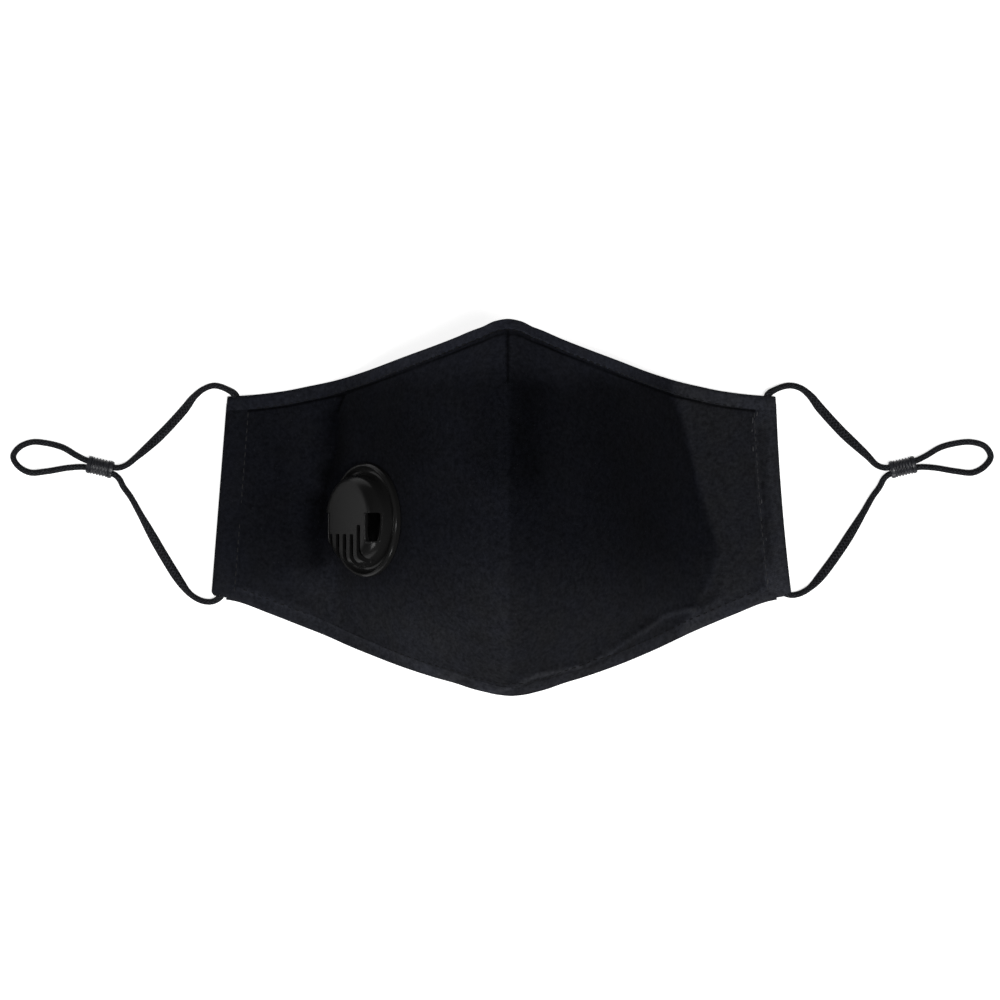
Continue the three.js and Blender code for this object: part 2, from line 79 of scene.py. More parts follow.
# Columns: name, place and size in metres, and power in watts. All of them face the mask.
LAMPS = [
    ("lamp_above", (0.35, -0.3, 1.7), 0.5, 16),
    ("lamp_left", (-1.5, -0.1, 0.9), 0.4, 8),
    ("lamp_front", (0.3, -1.5, 0.8), 0.5, 10),
]
LAMP_TARGET = Vector((0, 0, 0.02))
WORLD_LIGHT = 0.13

for name, place, size, power in LAMPS:
    bpy.ops.object.light_add(type="AREA", location=place)
    light = bpy.context.object
    light.name = name
    light.data.shape = "SQUARE"
    light.data.size = size
    light.data.energy = power
    light.visible_camera = False
    light.rotation_euler = (LAMP_TARGET - Vector(place)).to_track_quat("-Z", "Y").to_euler()

world = bpy.data.worlds.new("studio")
bpy.context.scene.world = world
world.use_nodes = True
sky = world.node_tree.nodes["Background"].inputs
sky["Color"].default_value = (1, 1, 1, 1)
sky["Strength"].default_value = WORLD_LIGHT
print("lamps", len(LAMPS))

# %% [markdown]
# Shader maths is easier to read as sums. A Wire holds one socket, and arithmetic on it adds the
# Math nodes. A Finish holds a material and adds any other node by its type.

# %% Writing materials


class Wire:
    """An output socket that can be added to, multiplied and compared like a number."""

    def __init__(self, finish, socket):
        self.finish = finish
        self.socket = socket

    def maths(self, operation, *values):
        return self.finish.node("ShaderNodeMath", {"operation": operation}, *values)

    def __add__(self, other):
        return self.maths("ADD", self, other)

    def __sub__(self, other):
        return self.maths("SUBTRACT", self, other)

    def __rsub__(self, other):
        return self.maths("SUBTRACT", other, self)

    def __mul__(self, other):
        return self.maths("MULTIPLY", self, other)

    __radd__ = __add__

    def sine(self):
        return self.maths("SINE", self)

    def size(self):
        return self.maths("ABSOLUTE", self)

    def most(self, other):
        return self.maths("MAXIMUM", self, other)

    def ramp(self, low, high):
        """0 up to low, 1 from high, and a smooth change between."""
        settings = {"interpolation_type": "SMOOTHSTEP"}
        return self.finish.node("ShaderNodeMapRange", settings, self, low, high)


class Finish:
    """A material with its shader, built node by node."""

    def __init__(self, name):
        self.material = bpy.data.materials.new(name)
        self.material.use_nodes = True
        self.tree = self.material.node_tree
        self.shader = self.tree.nodes["Principled BSDF"]

    def put(self, socket, value):
        if isinstance(value, Wire):
            self.tree.links.new(value.socket, socket)
        elif value is not None:
            socket.default_value = value

    def node(self, kind, settings, *values, out=0, **named):
        """Adds a node: its settings first, then its inputs in order or by name."""
        node = self.tree.nodes.new(kind)
        for key, value in settings.items():
            setattr(node, key, value)
        for socket, value in zip(node.inputs, values):
            self.put(socket, value)
        for key, value in named.items():
            self.put(node.inputs[key.replace("_", " ")], value)
        return Wire(self, node.outputs[out])

    def mix(self, share, first, second):
        """A colour between two, by a share."""
        settings = {"data_type": "RGBA"}
        wire = self.node("ShaderNodeMix", settings, share, out=2)
        for index, value in ((6, first), (7, second)):
            self.put(wire.socket.node.inputs[index], value)
        return wire

    def place(self, kind):
        return self.node("ShaderNodeTexCoord", {}, out={"uv": 2, "object": 3}[kind])

    def attribute(self, name):
        """A number that is stored on the points of the piece."""
        return self.node("ShaderNodeAttribute", {"attribute_name": name}, out=2)

    def parts(self, vector):
        """The first two numbers of a vector."""
        node = self.node("ShaderNodeSeparateXYZ", {}, vector).socket.node
        return Wire(self, node.outputs[0]), Wire(self, node.outputs[1])

    def noise(self, where, scale, detail=2.0, roughness=0.5):
        settings = {"noise_dimensions": "3D"}
        named = {"Scale": scale, "Detail": detail, "Roughness": roughness}
        return self.node("ShaderNodeTexNoise", settings, where, **named)

    def bump(self, height, distance, strength=1.0, under=None):
        named = {"Strength": strength, "Distance": distance, "Height": height, "Normal": under}
        return self.node("ShaderNodeBump", {}, **named)

    def set(self, **values):
        for key, value in values.items():
            self.put(self.shader.inputs[key.replace("_", " ")], value)


def grey(value, blue=0.0):
    """An almost neutral colour, a little blue in the dark cloth."""
    return (value, value * (1 + 0.17 * blue), value * (1 + blue), 1.0)


def paint(piece, finish):
    """Gives a piece one material in place of those that it has."""
    piece.data.materials.clear()
    piece.data.materials.append(finish.material)


def dress(piece, finish):
    """Paints a new piece and attaches it to the root body."""
    paint(piece, finish)
    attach(piece, "root")


TABLE_TONE, TABLE_GLOW = 0.9, 0.72
table_finish = Finish("white_table")
table_finish.set(Base_Color=grey(TABLE_TONE), Roughness=0.9)
table_finish.set(Emission_Color=grey(1), Emission_Strength=TABLE_GLOW)
paint(table, table_finish)

# %% [markdown]
# Some pieces are made straight from points. A few helpers read and store what a mesh holds, make
# a piece of it with its normals outwards, and measure lines of points.

# %% Pieces and lines of points
SIDES = (("left", -1), ("right", 1))


def select_only(piece):
    bpy.ops.object.select_all(action="DESELECT")
    piece.select_set(True)
    bpy.context.view_layer.objects.active = piece


def coordinates(piece):
    """The points of a piece, one in each row."""
    flat = np.empty(len(piece.data.vertices) * 3, np.float32)
    piece.data.vertices.foreach_get("co", flat)
    return flat.reshape(-1, 3)


def store(piece, name, values):
    """Keeps a number on each point of a piece, for its material."""
    layer = piece.data.attributes.new(name, "FLOAT", "POINT")
    layer.data.foreach_set("value", values.astype(np.float32))


def smooth_piece(name, mesh):
    """A piece made of a mesh, with its normals outwards and smooth shading."""
    mesh.validate()
    piece = bpy.data.objects.new(name, mesh)
    bpy.context.scene.collection.objects.link(piece)
    select_only(piece)
    bpy.ops.object.mode_set(mode="EDIT")
    bpy.ops.mesh.select_all(action="SELECT")
    bpy.ops.mesh.normals_make_consistent(inside=False)
    bpy.ops.object.mode_set(mode="OBJECT")
    bpy.ops.object.shade_smooth()
    return piece


def unit(vectors):
    """The same directions with the length 1."""
    return vectors / np.linalg.norm(vectors, axis=-1)[..., None]


def runs_of(points):
    """How far along a line each of its points is."""
    return np.concatenate([[0], np.cumsum(np.linalg.norm(np.diff(points, axis=0), axis=1))])


def points_at(wanted, runs, points):
    """Points of a line at the wanted distances along it."""
    return np.stack([np.interp(wanted, runs, points[:, i]) for i in range(3)], axis=1)


# %% [markdown]
# The ear loops are flat braided elastic. Each is one cord that runs through the casing at the
# side of the mask, out of its top, through a slider, round a small loop, back through the
# slider and into the casing again. An oval section is swept along a smooth curve through the
# points of the route, and turns about its own length where the elastic is twisted.

# %% Route of the elastic cords
ELASTIC_WIDTH = 3.3 * MM
ELASTIC_THICKNESS = 2.05 * MM
BRAID_PITCH = 2.5 * MM
BRAID_RELIEF = 0.07
CORD_STEP = 0.42 * MM
CORD_SIDES = 24
CURVE_STEPS = 24

# Points of the left cord's middle line, in millimetres
LEFT_ROUTE = [
    (-91.8, 10, 2.4), (-90.9, 22, 2.4), (-90.0, 31.5, 2.4), (-90.4, 38.4, 2.4), (-93.1, 40.4, 2.0),
    (-97.5, 41.7, 1.4), (-101.2, 40.5, 1.1), (-104.5, 37.8, 1.0), (-107.6, 33.8, 1.0), (-115.1, 25.6, 1.0),
    (-123.8, 17.6, 1.2), (-127.6, 14.6, 1.8), (-130.5, 13.8, 2.2), (-135.9, 15.2, 2.3), (-140.7, 16.3, 2.3),
    (-144.1, 17.9, 2.0), (-149.0, 20.7, 1.4), (-154.7, 22.2, 1.0), (-159.6, 22.5, 1.0), (-163.9, 20.6, 1.0),
    (-165.8, 17.6, 1.0), (-164.1, 14.4, 1.0), (-160.1, 12.2, 1.0), (-154.4, 12.6, 1.1), (-147.0, 13.8, 1.8),
    (-141.2, 14.0, 2.3), (-136.5, 12.8, 2.3), (-131.8, 11.7, 2.3), (-129.9, 10.2, 2.0), (-128.4, 7.4, 1.5),
    (-125.9, 3.9, 1.0), (-122.5, -2.2, 1.0), (-115.7, -14.4, 1.0), (-108.7, -25.5, 1.0), (-105.4, -29.3, 1.0),
    (-101.6, -31.4, 1.2), (-98.1, -31.6, 1.8), (-95.4, -29.9, 2.4), (-94.1, -26.6, 2.4), (-92.5, 0, 2.4),
    (-91.9, 9.2, 2.4),
]

# Points of the right cord that lie a little off the left one's mirror image: number, x and y
RIGHT_MOVES = {
    6: (101.4, 40.9), 7: (104.9, 38.2), 8: (108.1, 34.2), 9: (115.5, 26.1), 10: (124.1, 18),
    19: (164.2, 21), 20: (166.1, 17.6), 31: (122.4, -2.2), 32: (115.2, -13.8), 33: (107.7, -23.9),
    34: (104.2, -27.3), 35: (101, -29), 36: (98.2, -29.4), 37: (95.4, -28.3),
}

# Where along the cord it lies flat, 0, or stands on its edge, 90 degrees, by the number of the
# route's point
TWIST = [
    (0, 35), (3, 55), (4, 84), (6, 86), (7, 62), (8, 25), (9.2, 15), (10, 66), (11, 88),
    (14, 90), (16, 82), (19, 90), (22, 80), (24, 86), (27, 90), (30, 88), (31, 70), (31.7, 20),
    (32.6, 12), (33.3, 55), (34, 84), (36, 88), (38, 60), (40, 35),
]


def between(first, last, start, end, at):
    """The point at a knot, on the line through two points at the knots start and end."""
    return ((end - at) * first + (at - start) * last) / (end - start)


def smooth_line(points, step):
    """Even points, about a step apart, on a centripetal Catmull-Rom curve, with the number of
    the route's point that each is at, and its distance along the curve."""
    points = np.array(points, float)
    ends = [2 * points[0] - points[1], *points, 2 * points[-1] - points[-2]]
    fine, numbers = [], []
    for k in range(len(points) - 1):
        p0, p1, p2, p3 = (np.array(ends[k + i]) for i in range(4))
        knots = [0.0]
        for a, b in ((p0, p1), (p1, p2), (p2, p3)):
            knots.append(knots[-1] + math.sqrt(np.linalg.norm(b - a)))
        for i in range(CURVE_STEPS):
            t = knots[1] + (knots[2] - knots[1]) * i / CURVE_STEPS
            a1 = between(p0, p1, knots[0], knots[1], t)
            a2 = between(p1, p2, knots[1], knots[2], t)
            a3 = between(p2, p3, knots[2], knots[3], t)
            b1 = between(a1, a2, knots[0], knots[2], t)
            b2 = between(a2, a3, knots[1], knots[3], t)
            fine.append(between(b1, b2, knots[1], knots[2], t))
            numbers.append(k + i / CURVE_STEPS)
    fine.append(points[-1])
    numbers.append(len(points) - 1.0)
    fine = np.array(fine)
    runs = runs_of(fine)
    even = np.linspace(0, runs[-1], max(2, round(runs[-1] / step)) + 1)
    return points_at(even, runs, fine), np.interp(even, runs, numbers), even


def tube_mesh(name, rings, along, around_length):
    """A closed tube from rings of points, with a UV map in metres along and around it."""
    rings = np.array(rings)
    count, sides = rings.shape[:2]
    mesh = bpy.data.meshes.new(name)
    faces, uvs = [], []
    for k in range(count - 1):
        for i in range(sides):
            j = (i + 1) % sides
            faces.append((k * sides + i, k * sides + j, (k + 1) * sides + j, (k + 1) * sides + i))
            near, far = (around_length * x / sides for x in (i, i + 1))
            uvs += [(along[k], near), (along[k], far), (along[k + 1], far), (along[k + 1], near)]
    faces.append(tuple(range(sides))[::-1])
    faces.append(tuple((count - 1) * sides + i for i in range(sides)))
    uvs += [(along[0], around_length * i / sides) for i in range(sides)][::-1]
    uvs += [(along[-1], around_length * i / sides) for i in range(sides)]
    mesh.from_pydata(rings.reshape(-1, 3).tolist(), [], faces)
    layer = mesh.uv_layers.new(name="surface")
    layer.data.foreach_set("uv", np.array(uvs, float).ravel())
    return smooth_piece(name, mesh)


def elastic_cord(name, side):
    """One flat cord along the route; side is -1 for the left one and 1 for its mirror image."""
    route = [(-side * x * MM, y * MM, z * MM) for x, y, z in LEFT_ROUTE]
    if side > 0:
        for number, (x, y) in RIGHT_MOVES.items():
            route[number] = (x * MM, y * MM, route[number][2])
    line, numbers, along = smooth_line(route, CORD_STEP)
    turns = np.radians(np.interp(numbers, *zip(*TWIST)))
    tangents = unit(np.gradient(line, axis=0))
    rings = []
    for point, tangent, turn, run in zip(line, tangents, turns, along):
        flat = unit(np.cross((0, 0, 1), tangent))
        up = np.cross(tangent, flat)
        wide = math.cos(turn) * flat + math.sin(turn) * up
        thin = math.cos(turn) * up - math.sin(turn) * flat
        reach = math.hypot(ELASTIC_WIDTH * math.sin(turn), ELASTIC_THICKNESS * math.cos(turn)) / 2
        lift = max(0.0, reach - point[2])
        ring = []
        for k in range(CORD_SIDES):
            angle = 2 * math.pi * k / CORD_SIDES
            lay = 2 * math.pi * run / BRAID_PITCH
            strands = max(math.cos(3 * angle + lay) ** 2, math.cos(3 * angle - lay) ** 2)
            ribs = 1 + BRAID_RELIEF * (strands - 0.7)
            x = ELASTIC_WIDTH / 2 * ribs * math.copysign(abs(math.cos(angle)) ** 0.8, math.cos(angle))
            y = ELASTIC_THICKNESS / 2 * ribs * math.sin(angle)
            ring.append(point + x * wide + y * thin + (0, 0, lift))
        rings.append(ring)
    around = math.pi * (ELASTIC_WIDTH + ELASTIC_THICKNESS) / 2
    piece = tube_mesh(name, rings, along, around)
    print(name, "length", round(float(along[-1]), 4), "m")
    return piece, line, float(along[-1])


def black_elastic():
    """Braid of shiny and dull black threads: two sets of slanting strands that cross."""
    finish = Finish("black_elastic")
    along, around = finish.parts(finish.place("uv"))
    turn = around * (6 * math.pi / (math.pi * (ELASTIC_WIDTH + ELASTIC_THICKNESS) / 2))
    lay = along * (2 * math.pi / BRAID_PITCH)
    first = (turn + lay).sine().size()
    second = (turn - lay).sine().size()
    strands = first.most(second)
    fibres = finish.noise(finish.place("object"), 2600, 2)
    shine = strands.ramp(0.72, 1.0) * fibres.ramp(0.32, 0.66)
    colour = finish.mix(shine, grey(0.0035, 0.3), grey(0.034, 0.2))
    bump = finish.bump(strands + fibres * 0.35, 0.12 * MM, 0.8)
    finish.set(Base_Color=colour, Roughness=0.62 + fibres * 0.25, Normal=bump)
    finish.set(Specular_IOR_Level=0.08)
    return finish


elastic_finish = black_elastic()
cords = {}
for label, side in SIDES:
    cords[label] = elastic_cord(f"elastic_{label}", side)
    dress(cords[label][0], elastic_finish)
    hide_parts(f"ear_cord_{label}")

# %% [markdown]
# The body of the mask is one surface. Two numbers say where a point of it is: out runs from
# the ridge, 0, to the side edge, 1, and up from the chin edge, 0, to the nose edge, 1. Tables
# of shares give the outline, the cross-section and the drop of the edges.

# %% The shape of the cloth
MASK_HEIGHT = 122.9
TOP_WIDTH = 186.4
BOTTOM_WIDTH = 197
NOSE_RISE = 23.95
CHIN_FALL = 31.75
RIDGE_OFFSET = 2.1
CHIN_LEAN = 1.3
RIGHT_SPREAD = 1.1
RIGHT_BOW = 0.75
RIDGE_HEIGHT = 62
FLAT_HEIGHT = 2.4
NOSE_DROP, NOSE_SHOULDER = 14, 30
CHIN_DROP, CHIN_SHOULDER = 30, 52
BODY_WALL = 1.5
BAND_WIDTH = 4.9
CASING_WIDTH = 7.2
SIDE_TOP = MASK_HEIGHT / 2 - NOSE_RISE
SIDE_BOTTOM = CHIN_FALL - MASK_HEIGHT / 2

# Columns: share of the way out, height of the top edge, height of the bottom edge
OUTLINE = [
    (0, 1, 1), (0.04, 0.975, 0.99), (0.08, 0.905, 0.965), (0.12, 0.85, 0.935),
    (0.18, 0.755, 0.875), (0.25, 0.655, 0.815), (0.4, 0.46, 0.665), (0.52, 0.315, 0.53),
    (0.62, 0.215, 0.4), (0.7, 0.15, 0.3), (0.8, 0.073, 0.176), (0.92, 0.018, 0.04), (1, 0, 0),
]

# Columns: share of the way out, height of the crest, drop of the nose edge and of the chin edge
SECTION = [
    (0, 1, 1, 1), (0.04, 0.979, 0.96, 0.97), (0.12, 0.905, 0.875, 0.895),
    (0.25, 0.748, 0.66, 0.7), (0.35, 0.6, 0.5, 0.55), (0.454, 0.356, 0.33, 0.36),
    (0.52, 0.203, 0.2, 0.21), (0.58, 0.084, 0.08, 0.09), (0.65, 0.022, 0.01, 0.02),
    (0.72, 0.01, 0, 0), (0.82, 0.004, 0, 0), (1, 0, 0, 0),
]


def soft_step(value):
    """0 up to 0, 1 from 1, and a smooth change between."""
    share = np.clip(value, 0, 1)
    return share * share * (3 - 2 * share)


def column(table, number, share):
    """Smooth value of a table's column at an array of shares, level at the first row."""
    at = np.array([row[0] for row in table], float)
    values = np.array([row[number] for row in table], float)
    rises = np.diff(values) / np.diff(at)
    product = rises[:-1] * rises[1:]
    total = np.where(product > 0, rises[:-1] + rises[1:], 1)
    inner = np.where(product > 0, 2 * product / total, 0)
    slopes = np.concatenate([[0], inner, rises[-1:]])
    share = np.clip(share, 0, 1)
    start = np.clip(np.searchsorted(at, share, side="left") - 1, 0, len(at) - 2)
    span = at[start + 1] - at[start]
    u = (share - at[start]) / span
    ease = soft_step(u)
    leave = slopes[start] * span * u * (1 - u) ** 2
    arrive = slopes[start + 1] * span * u * u * (1 - u)
    return values[start] * (1 - ease) + values[start + 1] * ease + leave - arrive


def top_edge(out):
    return SIDE_TOP + NOSE_RISE * column(OUTLINE, 1, out)


def bottom_edge(out):
    return SIDE_BOTTOM - CHIN_FALL * column(OUTLINE, 2, out)


def reach(side, up):
    return (BOTTOM_WIDTH + (TOP_WIDTH - BOTTOM_WIDTH) * up) / 2 - side * RIDGE_OFFSET


def plan(side, out, up):
    """Plan point of the cloth in millimetres."""
    lean = CHIN_LEAN * ((1 - up) * (1 - out)) ** 2
    bow = np.where(np.asarray(side) > 0, 4 * RIGHT_BOW * up * (1 - up) * out**2, 0)
    x = RIDGE_OFFSET + lean + side * out * reach(side, up) - bow
    y = bottom_edge(out) + (top_edge(out) - bottom_edge(out)) * up
    return x, y


def crest(side, out, up):
    """Height of the cloth before its dents."""
    share = np.where(np.asarray(side) > 0, out / RIGHT_SPREAD, out)
    span = top_edge(out) - bottom_edge(out)
    near_nose = np.maximum(0, 1 - (1 - up) * span / NOSE_SHOULDER)
    near_chin = np.maximum(0, 1 - up * span / CHIN_SHOULDER)
    height = FLAT_HEIGHT + (RIDGE_HEIGHT - FLAT_HEIGHT) * column(SECTION, 1, share)
    nose = NOSE_DROP * column(SECTION, 2, share) * near_nose**2
    return height - nose - CHIN_DROP * column(SECTION, 3, share) * near_chin**2


# %% [markdown]
# Cotton never lies quite smooth. The dents that the photograph shows are soft valleys along
# short lines, each with its own width and depth. A crease is sharper and stands up, or is a
# groove where its rise is negative. The sewn edges keep their cloth flat, so all of them fade
# out near a band.

# %% Dents, pleats and creases
# Columns: side, out at both ends, up at both ends, width and depth in millimetres
DENTS = [
    (-1, (0.57, 0.62), (1.0, 0.74), 3.5, 3.0),
    (-1, (0.62, 0.69), (0.74, 0.36), 5.0, 2.4),
    (1, (0.65, 0.73), (0.93, 0.36), 5.0, 2.1),
    (1, (0.73, 0.68), (0.36, 0.12), 5.0, 2.1),
    (1, (0.12, 0.5), (0.08, 0.12), 3.5, 1.8),
    (-1, (0.05, 0.28), (0.12, 0.16), 4.0, 1.35),
]

# Sharper creases: width, rise, and the points that each runs through, in plan millimetres
CREASES = [
    (1.2, 0.8, [(6.4, -56.9), (11.6, -54.6), (18.5, -53.6), (30, -51.1)]),
    (1.2, 0.6, [(30, -51.1), (36, -47.8), (41.6, -44), (47, -41.2)]),
    (1.3, 0.75, [(47.4, -41), (51, -38.9), (54.4, -36.2), (60.5, -34.8), (67, -34.2), (73.6, -30.6)]),
    (1.2, 0.5, [(-7.6, -60), (-3, -60.4), (1.4, -59.6), (5.4, -58)]),
    (2.0, -0.6, [(8, -52.6), (18, -50.6), (30, -48.2), (42, -41)]),
    (3.0, -0.7, [(-86, -22), (-74, -25.5), (-58, -36), (-40, -45.5)]),
    (4.0, 0.7, [(-78, 18), (-76, 2), (-78, -10)]),
    (3.4, -0.8, [(-70.5, 22), (-69.5, 8), (-71, -4)]),
    (0.9, -1.5, [(-52.9, 38.4), (-55.3, 33.1), (-57.0, 28)]),
    (3.0, -1.3, [(-56.4, 29), (-56.2, 20), (-58.2, 12)]),
    (2.0, -0.9, [(57.4, 38), (60.5, 30), (64.3, 16.5), (68.5, 2), (71.6, -7.3), (73.0, -15), (70, -26)]),
]

# Shade that stays in folds and under the ridge: how dark, width, and a line in plan millimetres
SHADES = [
    (0.75, 1.0, [(-52.9, 38.4), (-55.3, 33.1)]),
    (0.58, 4.2, [(-56.0, 30), (-55.8, 24), (-55.6, 17), (-58.4, 12)]),
    (0.6, 4.0, [(-63.0, 2), (-63.6, -6), (-62.5, -17)]),
    (0.15, 9.0, [(-46, 32), (-38, 26), (-33, 20)]),
    (0.5, 8.0, [(8, 36), (8, 12)]),
    (0.35, 8.0, [(-5, 34), (-5, 16)]),
    (0.25, 16.0, [(34, 30), (40, 8), (46, -8)]),
    (0.2, 12.0, [(-78, 20), (-76, -14)]),
    (0.4, 1.5, [(88.0, 26), (88.9, 9.7), (90.4, -17.5)]),
]

# The painted shadow line along the nose band's hem: how dark, its place and width in millimetres,
# and how much shorter a gap is across the slanting edge than along y
HEM_DARK, HEM_PLACE, HEM_LINE, HEM_SLOPE = 0.9, 4.6, 0.36, 0.94

# The foot of the right panel, as y and x in plan millimetres from the nose edge to the chin edge.
# Beyond it the cloth lies flat and is lighter with painted light.
RIGHT_FOOT = [
    (40, 57.0), (30, 60.5), (16.5, 64.3), (2, 68.5), (-7.3, 71.6), (-15, 73.2), (-26, 70), (-40, 60),
]

# Painted highlights on the crests of creases: how much, width, and a line in plan millimetres
LIT_CRESTS = [
    (2.0, 0.52, [(6.4, -56.9), (11.6, -54.6), (18.5, -53.6), (26, -52)]),
    (1.1, 0.5, [(28, -51.4), (36, -47.8), (41.6, -44), (47, -41.2)]),
    (1.4, 0.55, [(47.4, -41), (51, -38.9), (54.4, -36.2), (60.5, -34.8), (65, -34.4)]),
    (1.3, 0.6, [(-7.6, -60), (-3, -60.4), (1.4, -59.6), (5.4, -58)]),
    (0.25, 1.0, [(8, -60.4), (20, -57.4), (34, -53), (50, -46.4), (70, -38)]),
    (0.4, 8.0, [(-62, -27), (-40, -38), (-20, -46)]),
    (0.5, 1.4, [(-86, -28), (-60, -38), (-40, -47), (-14, -58)]),
]

# Long soft waves of loose cotton: direction in degrees, wave length and rise in millimetres
WAVES = [
    (15, 37, 0.16), (80, 29, 0.13), (130, 23, 0.1), (55, 17, 0.07), (105, 13, 0.045), (160, 19, 0.07),
]


def near_line(x, y, width, points):
    """1 on a line through the given points, and less beside it, over a width."""
    gap = np.full(np.shape(x), 1e9)
    for (x0, y0), (x1, y1) in zip(points, points[1:]):
        dx, dy = x1 - x0, y1 - y0
        along = np.clip(((x - x0) * dx + (y - y0) * dy) / (dx * dx + dy * dy), 0, 1)
        gap = np.minimum(gap, np.hypot(x - x0 - along * dx, y - y0 - along * dy))
    return np.exp(-((gap / width) ** 2))


def dents(side, x, y, out):
    """Depth of the dents in millimetres at arrays of plan points."""
    gap = np.minimum(top_edge(out) - y, y - bottom_edge(out))
    loose = soft_step((gap - BAND_WIDTH) / (1.5 * BAND_WIDTH))
    near = np.clip(np.minimum(top_edge(out) - y - BAND_WIDTH, y - bottom_edge(out) - 0.8) / 1.5, 0, 1)
    depth = np.zeros_like(x)
    for dent_side, outs, ups, width, deep in DENTS:
        points = [plan(dent_side, out_end, up_end) for out_end, up_end in zip(outs, ups)]
        depth += np.where(side == dent_side, deep * near_line(x, y, width, points), 0)
    creases = np.zeros_like(x)
    for width, rise, points in CREASES:
        creases -= rise * near_line(x, y, width, points)
    waves = np.zeros_like(x)
    for number, (angle, length, rise) in enumerate(WAVES):
        turn = math.radians(angle)
        run = x * math.cos(turn) + y * math.sin(turn)
        waves += rise * np.sin(2 * math.pi * run / length + 1.7 * number)
    return loose * (depth + waves) + near * creases


def fold_shade(x, y):
    """How dark the cloth is in its folds, from 0 to 1."""
    light = np.ones_like(x)
    for dark, width, points in SHADES:
        light *= 1 - dark * near_line(x, y, width, points)
    return 1 - light


def hem_shade(x, y):
    """How dark the painted shadow is along the hem of the nose band."""
    side = np.where(x < RIDGE_OFFSET, -1.0, 1.0)
    out = np.clip(np.abs(x - RIDGE_OFFSET) / reach(side, 1), 0, 1)
    gap = (top_edge(out) - y) * HEM_SLOPE
    return HEM_DARK * np.exp(-(((gap - HEM_PLACE) / HEM_LINE) ** 2))


def lit_places(x, y):
    """Painted light: 1 on the flat cloth beyond the foot of the right panel, 0 on the panels,
    and more as painted highlights on the crests of the chin's creases."""
    foot = np.interp(-y, [-row[0] for row in RIGHT_FOOT], [row[1] for row in RIGHT_FOOT])
    painted_light = soft_step((x - foot + 1.5) / 3.5)
    for rise, width, points in LIT_CRESTS:
        painted_light = painted_light + rise * near_line(x, y, width, points)
    return painted_light


# %% [markdown]
# The valve's plane is the slope of the left panel at its middle. All pieces of the valve stand
# on it, and the cloth is drawn flat under its flange.

# %% The valve's place
FLANGE_RADIUS = 19.1
VALVE_OUT, VALVE_UP = 0.469, 0.47
SEAT_MARGIN, SEAT_BLEND = 1, 11


def crest_point(side, out, up):
    x, y = plan(side, out, up)
    return Vector((float(x), float(y), float(crest(side, out, up))))


seat_span = 0.6 * FLANGE_RADIUS / reach(-1, VALVE_UP)
seat_centre = crest_point(-1, VALVE_OUT, VALVE_UP)
slope = crest_point(-1, VALVE_OUT - seat_span, VALVE_UP)
slope -= crest_point(-1, VALVE_OUT + seat_span, VALVE_UP)
seat_u = Vector((slope.x, 0, slope.z)).normalized()
seat_v = Vector((0, 1, 0))
seat_w = seat_u.cross(seat_v)
seat_frame = Matrix((seat_u, seat_v, seat_w)).transposed().to_4x4()
seat_frame.translation = seat_centre * MM
print("valve at", [round(value, 2) for value in seat_centre], "mm, tilted",
      round(math.degrees(math.atan2(seat_u.z, seat_u.x)), 1), "degrees")


def cloth(side, out, up):
    """Points on the middle of the cloth, in millimetres, for arrays of side, out and up."""
    side, out, up = np.broadcast_arrays(np.asarray(side, float), out, up)
    x, y = plan(side, out, up)
    z = crest(side, out, up) - dents(side, x, y, out)
    z = np.maximum(FLAT_HEIGHT, z)
    across = (x - seat_centre.x) / seat_u.x
    away = np.hypot(across, y - seat_centre.y)
    free = np.where(side > 0, 1, soft_step((away - FLANGE_RADIUS - SEAT_MARGIN) / SEAT_BLEND))
    seat = seat_centre.z + across * seat_u.z
    return np.stack([x, y, seat + (z - seat) * free], axis=-1)


def cloth_normal(side, out, up):
    """Outward unit normals of the cloth at arrays of places."""
    side, out, up = np.broadcast_arrays(np.asarray(side, float), out, up)
    step = 0.006
    over = out < step
    inward = cloth(np.where(over, -side, side), np.where(over, step, out - step), up)
    outward = cloth(side, np.minimum(out + step, 1), up)
    lower = cloth(side, out, np.maximum(up - step, 0))
    upper = cloth(side, out, np.minimum(up + step, 1))
    normal = unit(np.cross(outward - inward, upper - lower))
    return np.where(normal[..., 2:] < 0, -normal, normal)


# %% [markdown]
# A grid primitive is the start of every cloth piece. Its vertices are moved by a function of
# their place in the grid, which keeps the quads even and the UV map simple. The UV map is then
# stretched to metres, so that weave and stitches have the same size everywhere.

# %% Grids that become cloth
CLOTH_POWER = 1.15


def grid(name, across, along, place, size):
    """A grid of quads whose points are placed by a function of two shares from 0 to 1. size is
    its width and length in metres, for the UV map."""
    bpy.ops.mesh.primitive_grid_add(x_subdivisions=across, y_subdivisions=along, size=1)
    piece = bpy.context.object
    piece.name = name
    mesh = piece.data
    shares = np.clip(coordinates(piece) + 0.5, 0, 1)
    points = place(shares[:, 0], shares[:, 1]) * MM
    mesh.vertices.foreach_set("co", points.astype(np.float32).ravel())
    uv = np.empty(len(mesh.loops) * 2, np.float32)
    mesh.uv_layers[0].name = "surface"
    mesh.uv_layers[0].data.foreach_get("uv", uv)
    uv = uv.reshape(-1, 2) * np.array(size, np.float32)
    mesh.uv_layers[0].data.foreach_set("uv", uv.ravel())
    mesh.update()
    return piece


def apply_modifier(piece, kind, **settings):
    select_only(piece)
    modifier = piece.modifiers.new(kind.lower(), kind)
    for key, value in settings.items():
        setattr(modifier, key, value)
    bpy.ops.object.modifier_apply(modifier=modifier.name)


def thicken(piece, wall):
    """Gives the sheet a wall, half of it on each side."""
    apply_modifier(piece, "SOLIDIFY", thickness=wall * MM, offset=0, use_even_offset=True)
    select_only(piece)
    bpy.ops.object.shade_smooth_by_angle(angle=math.radians(50))


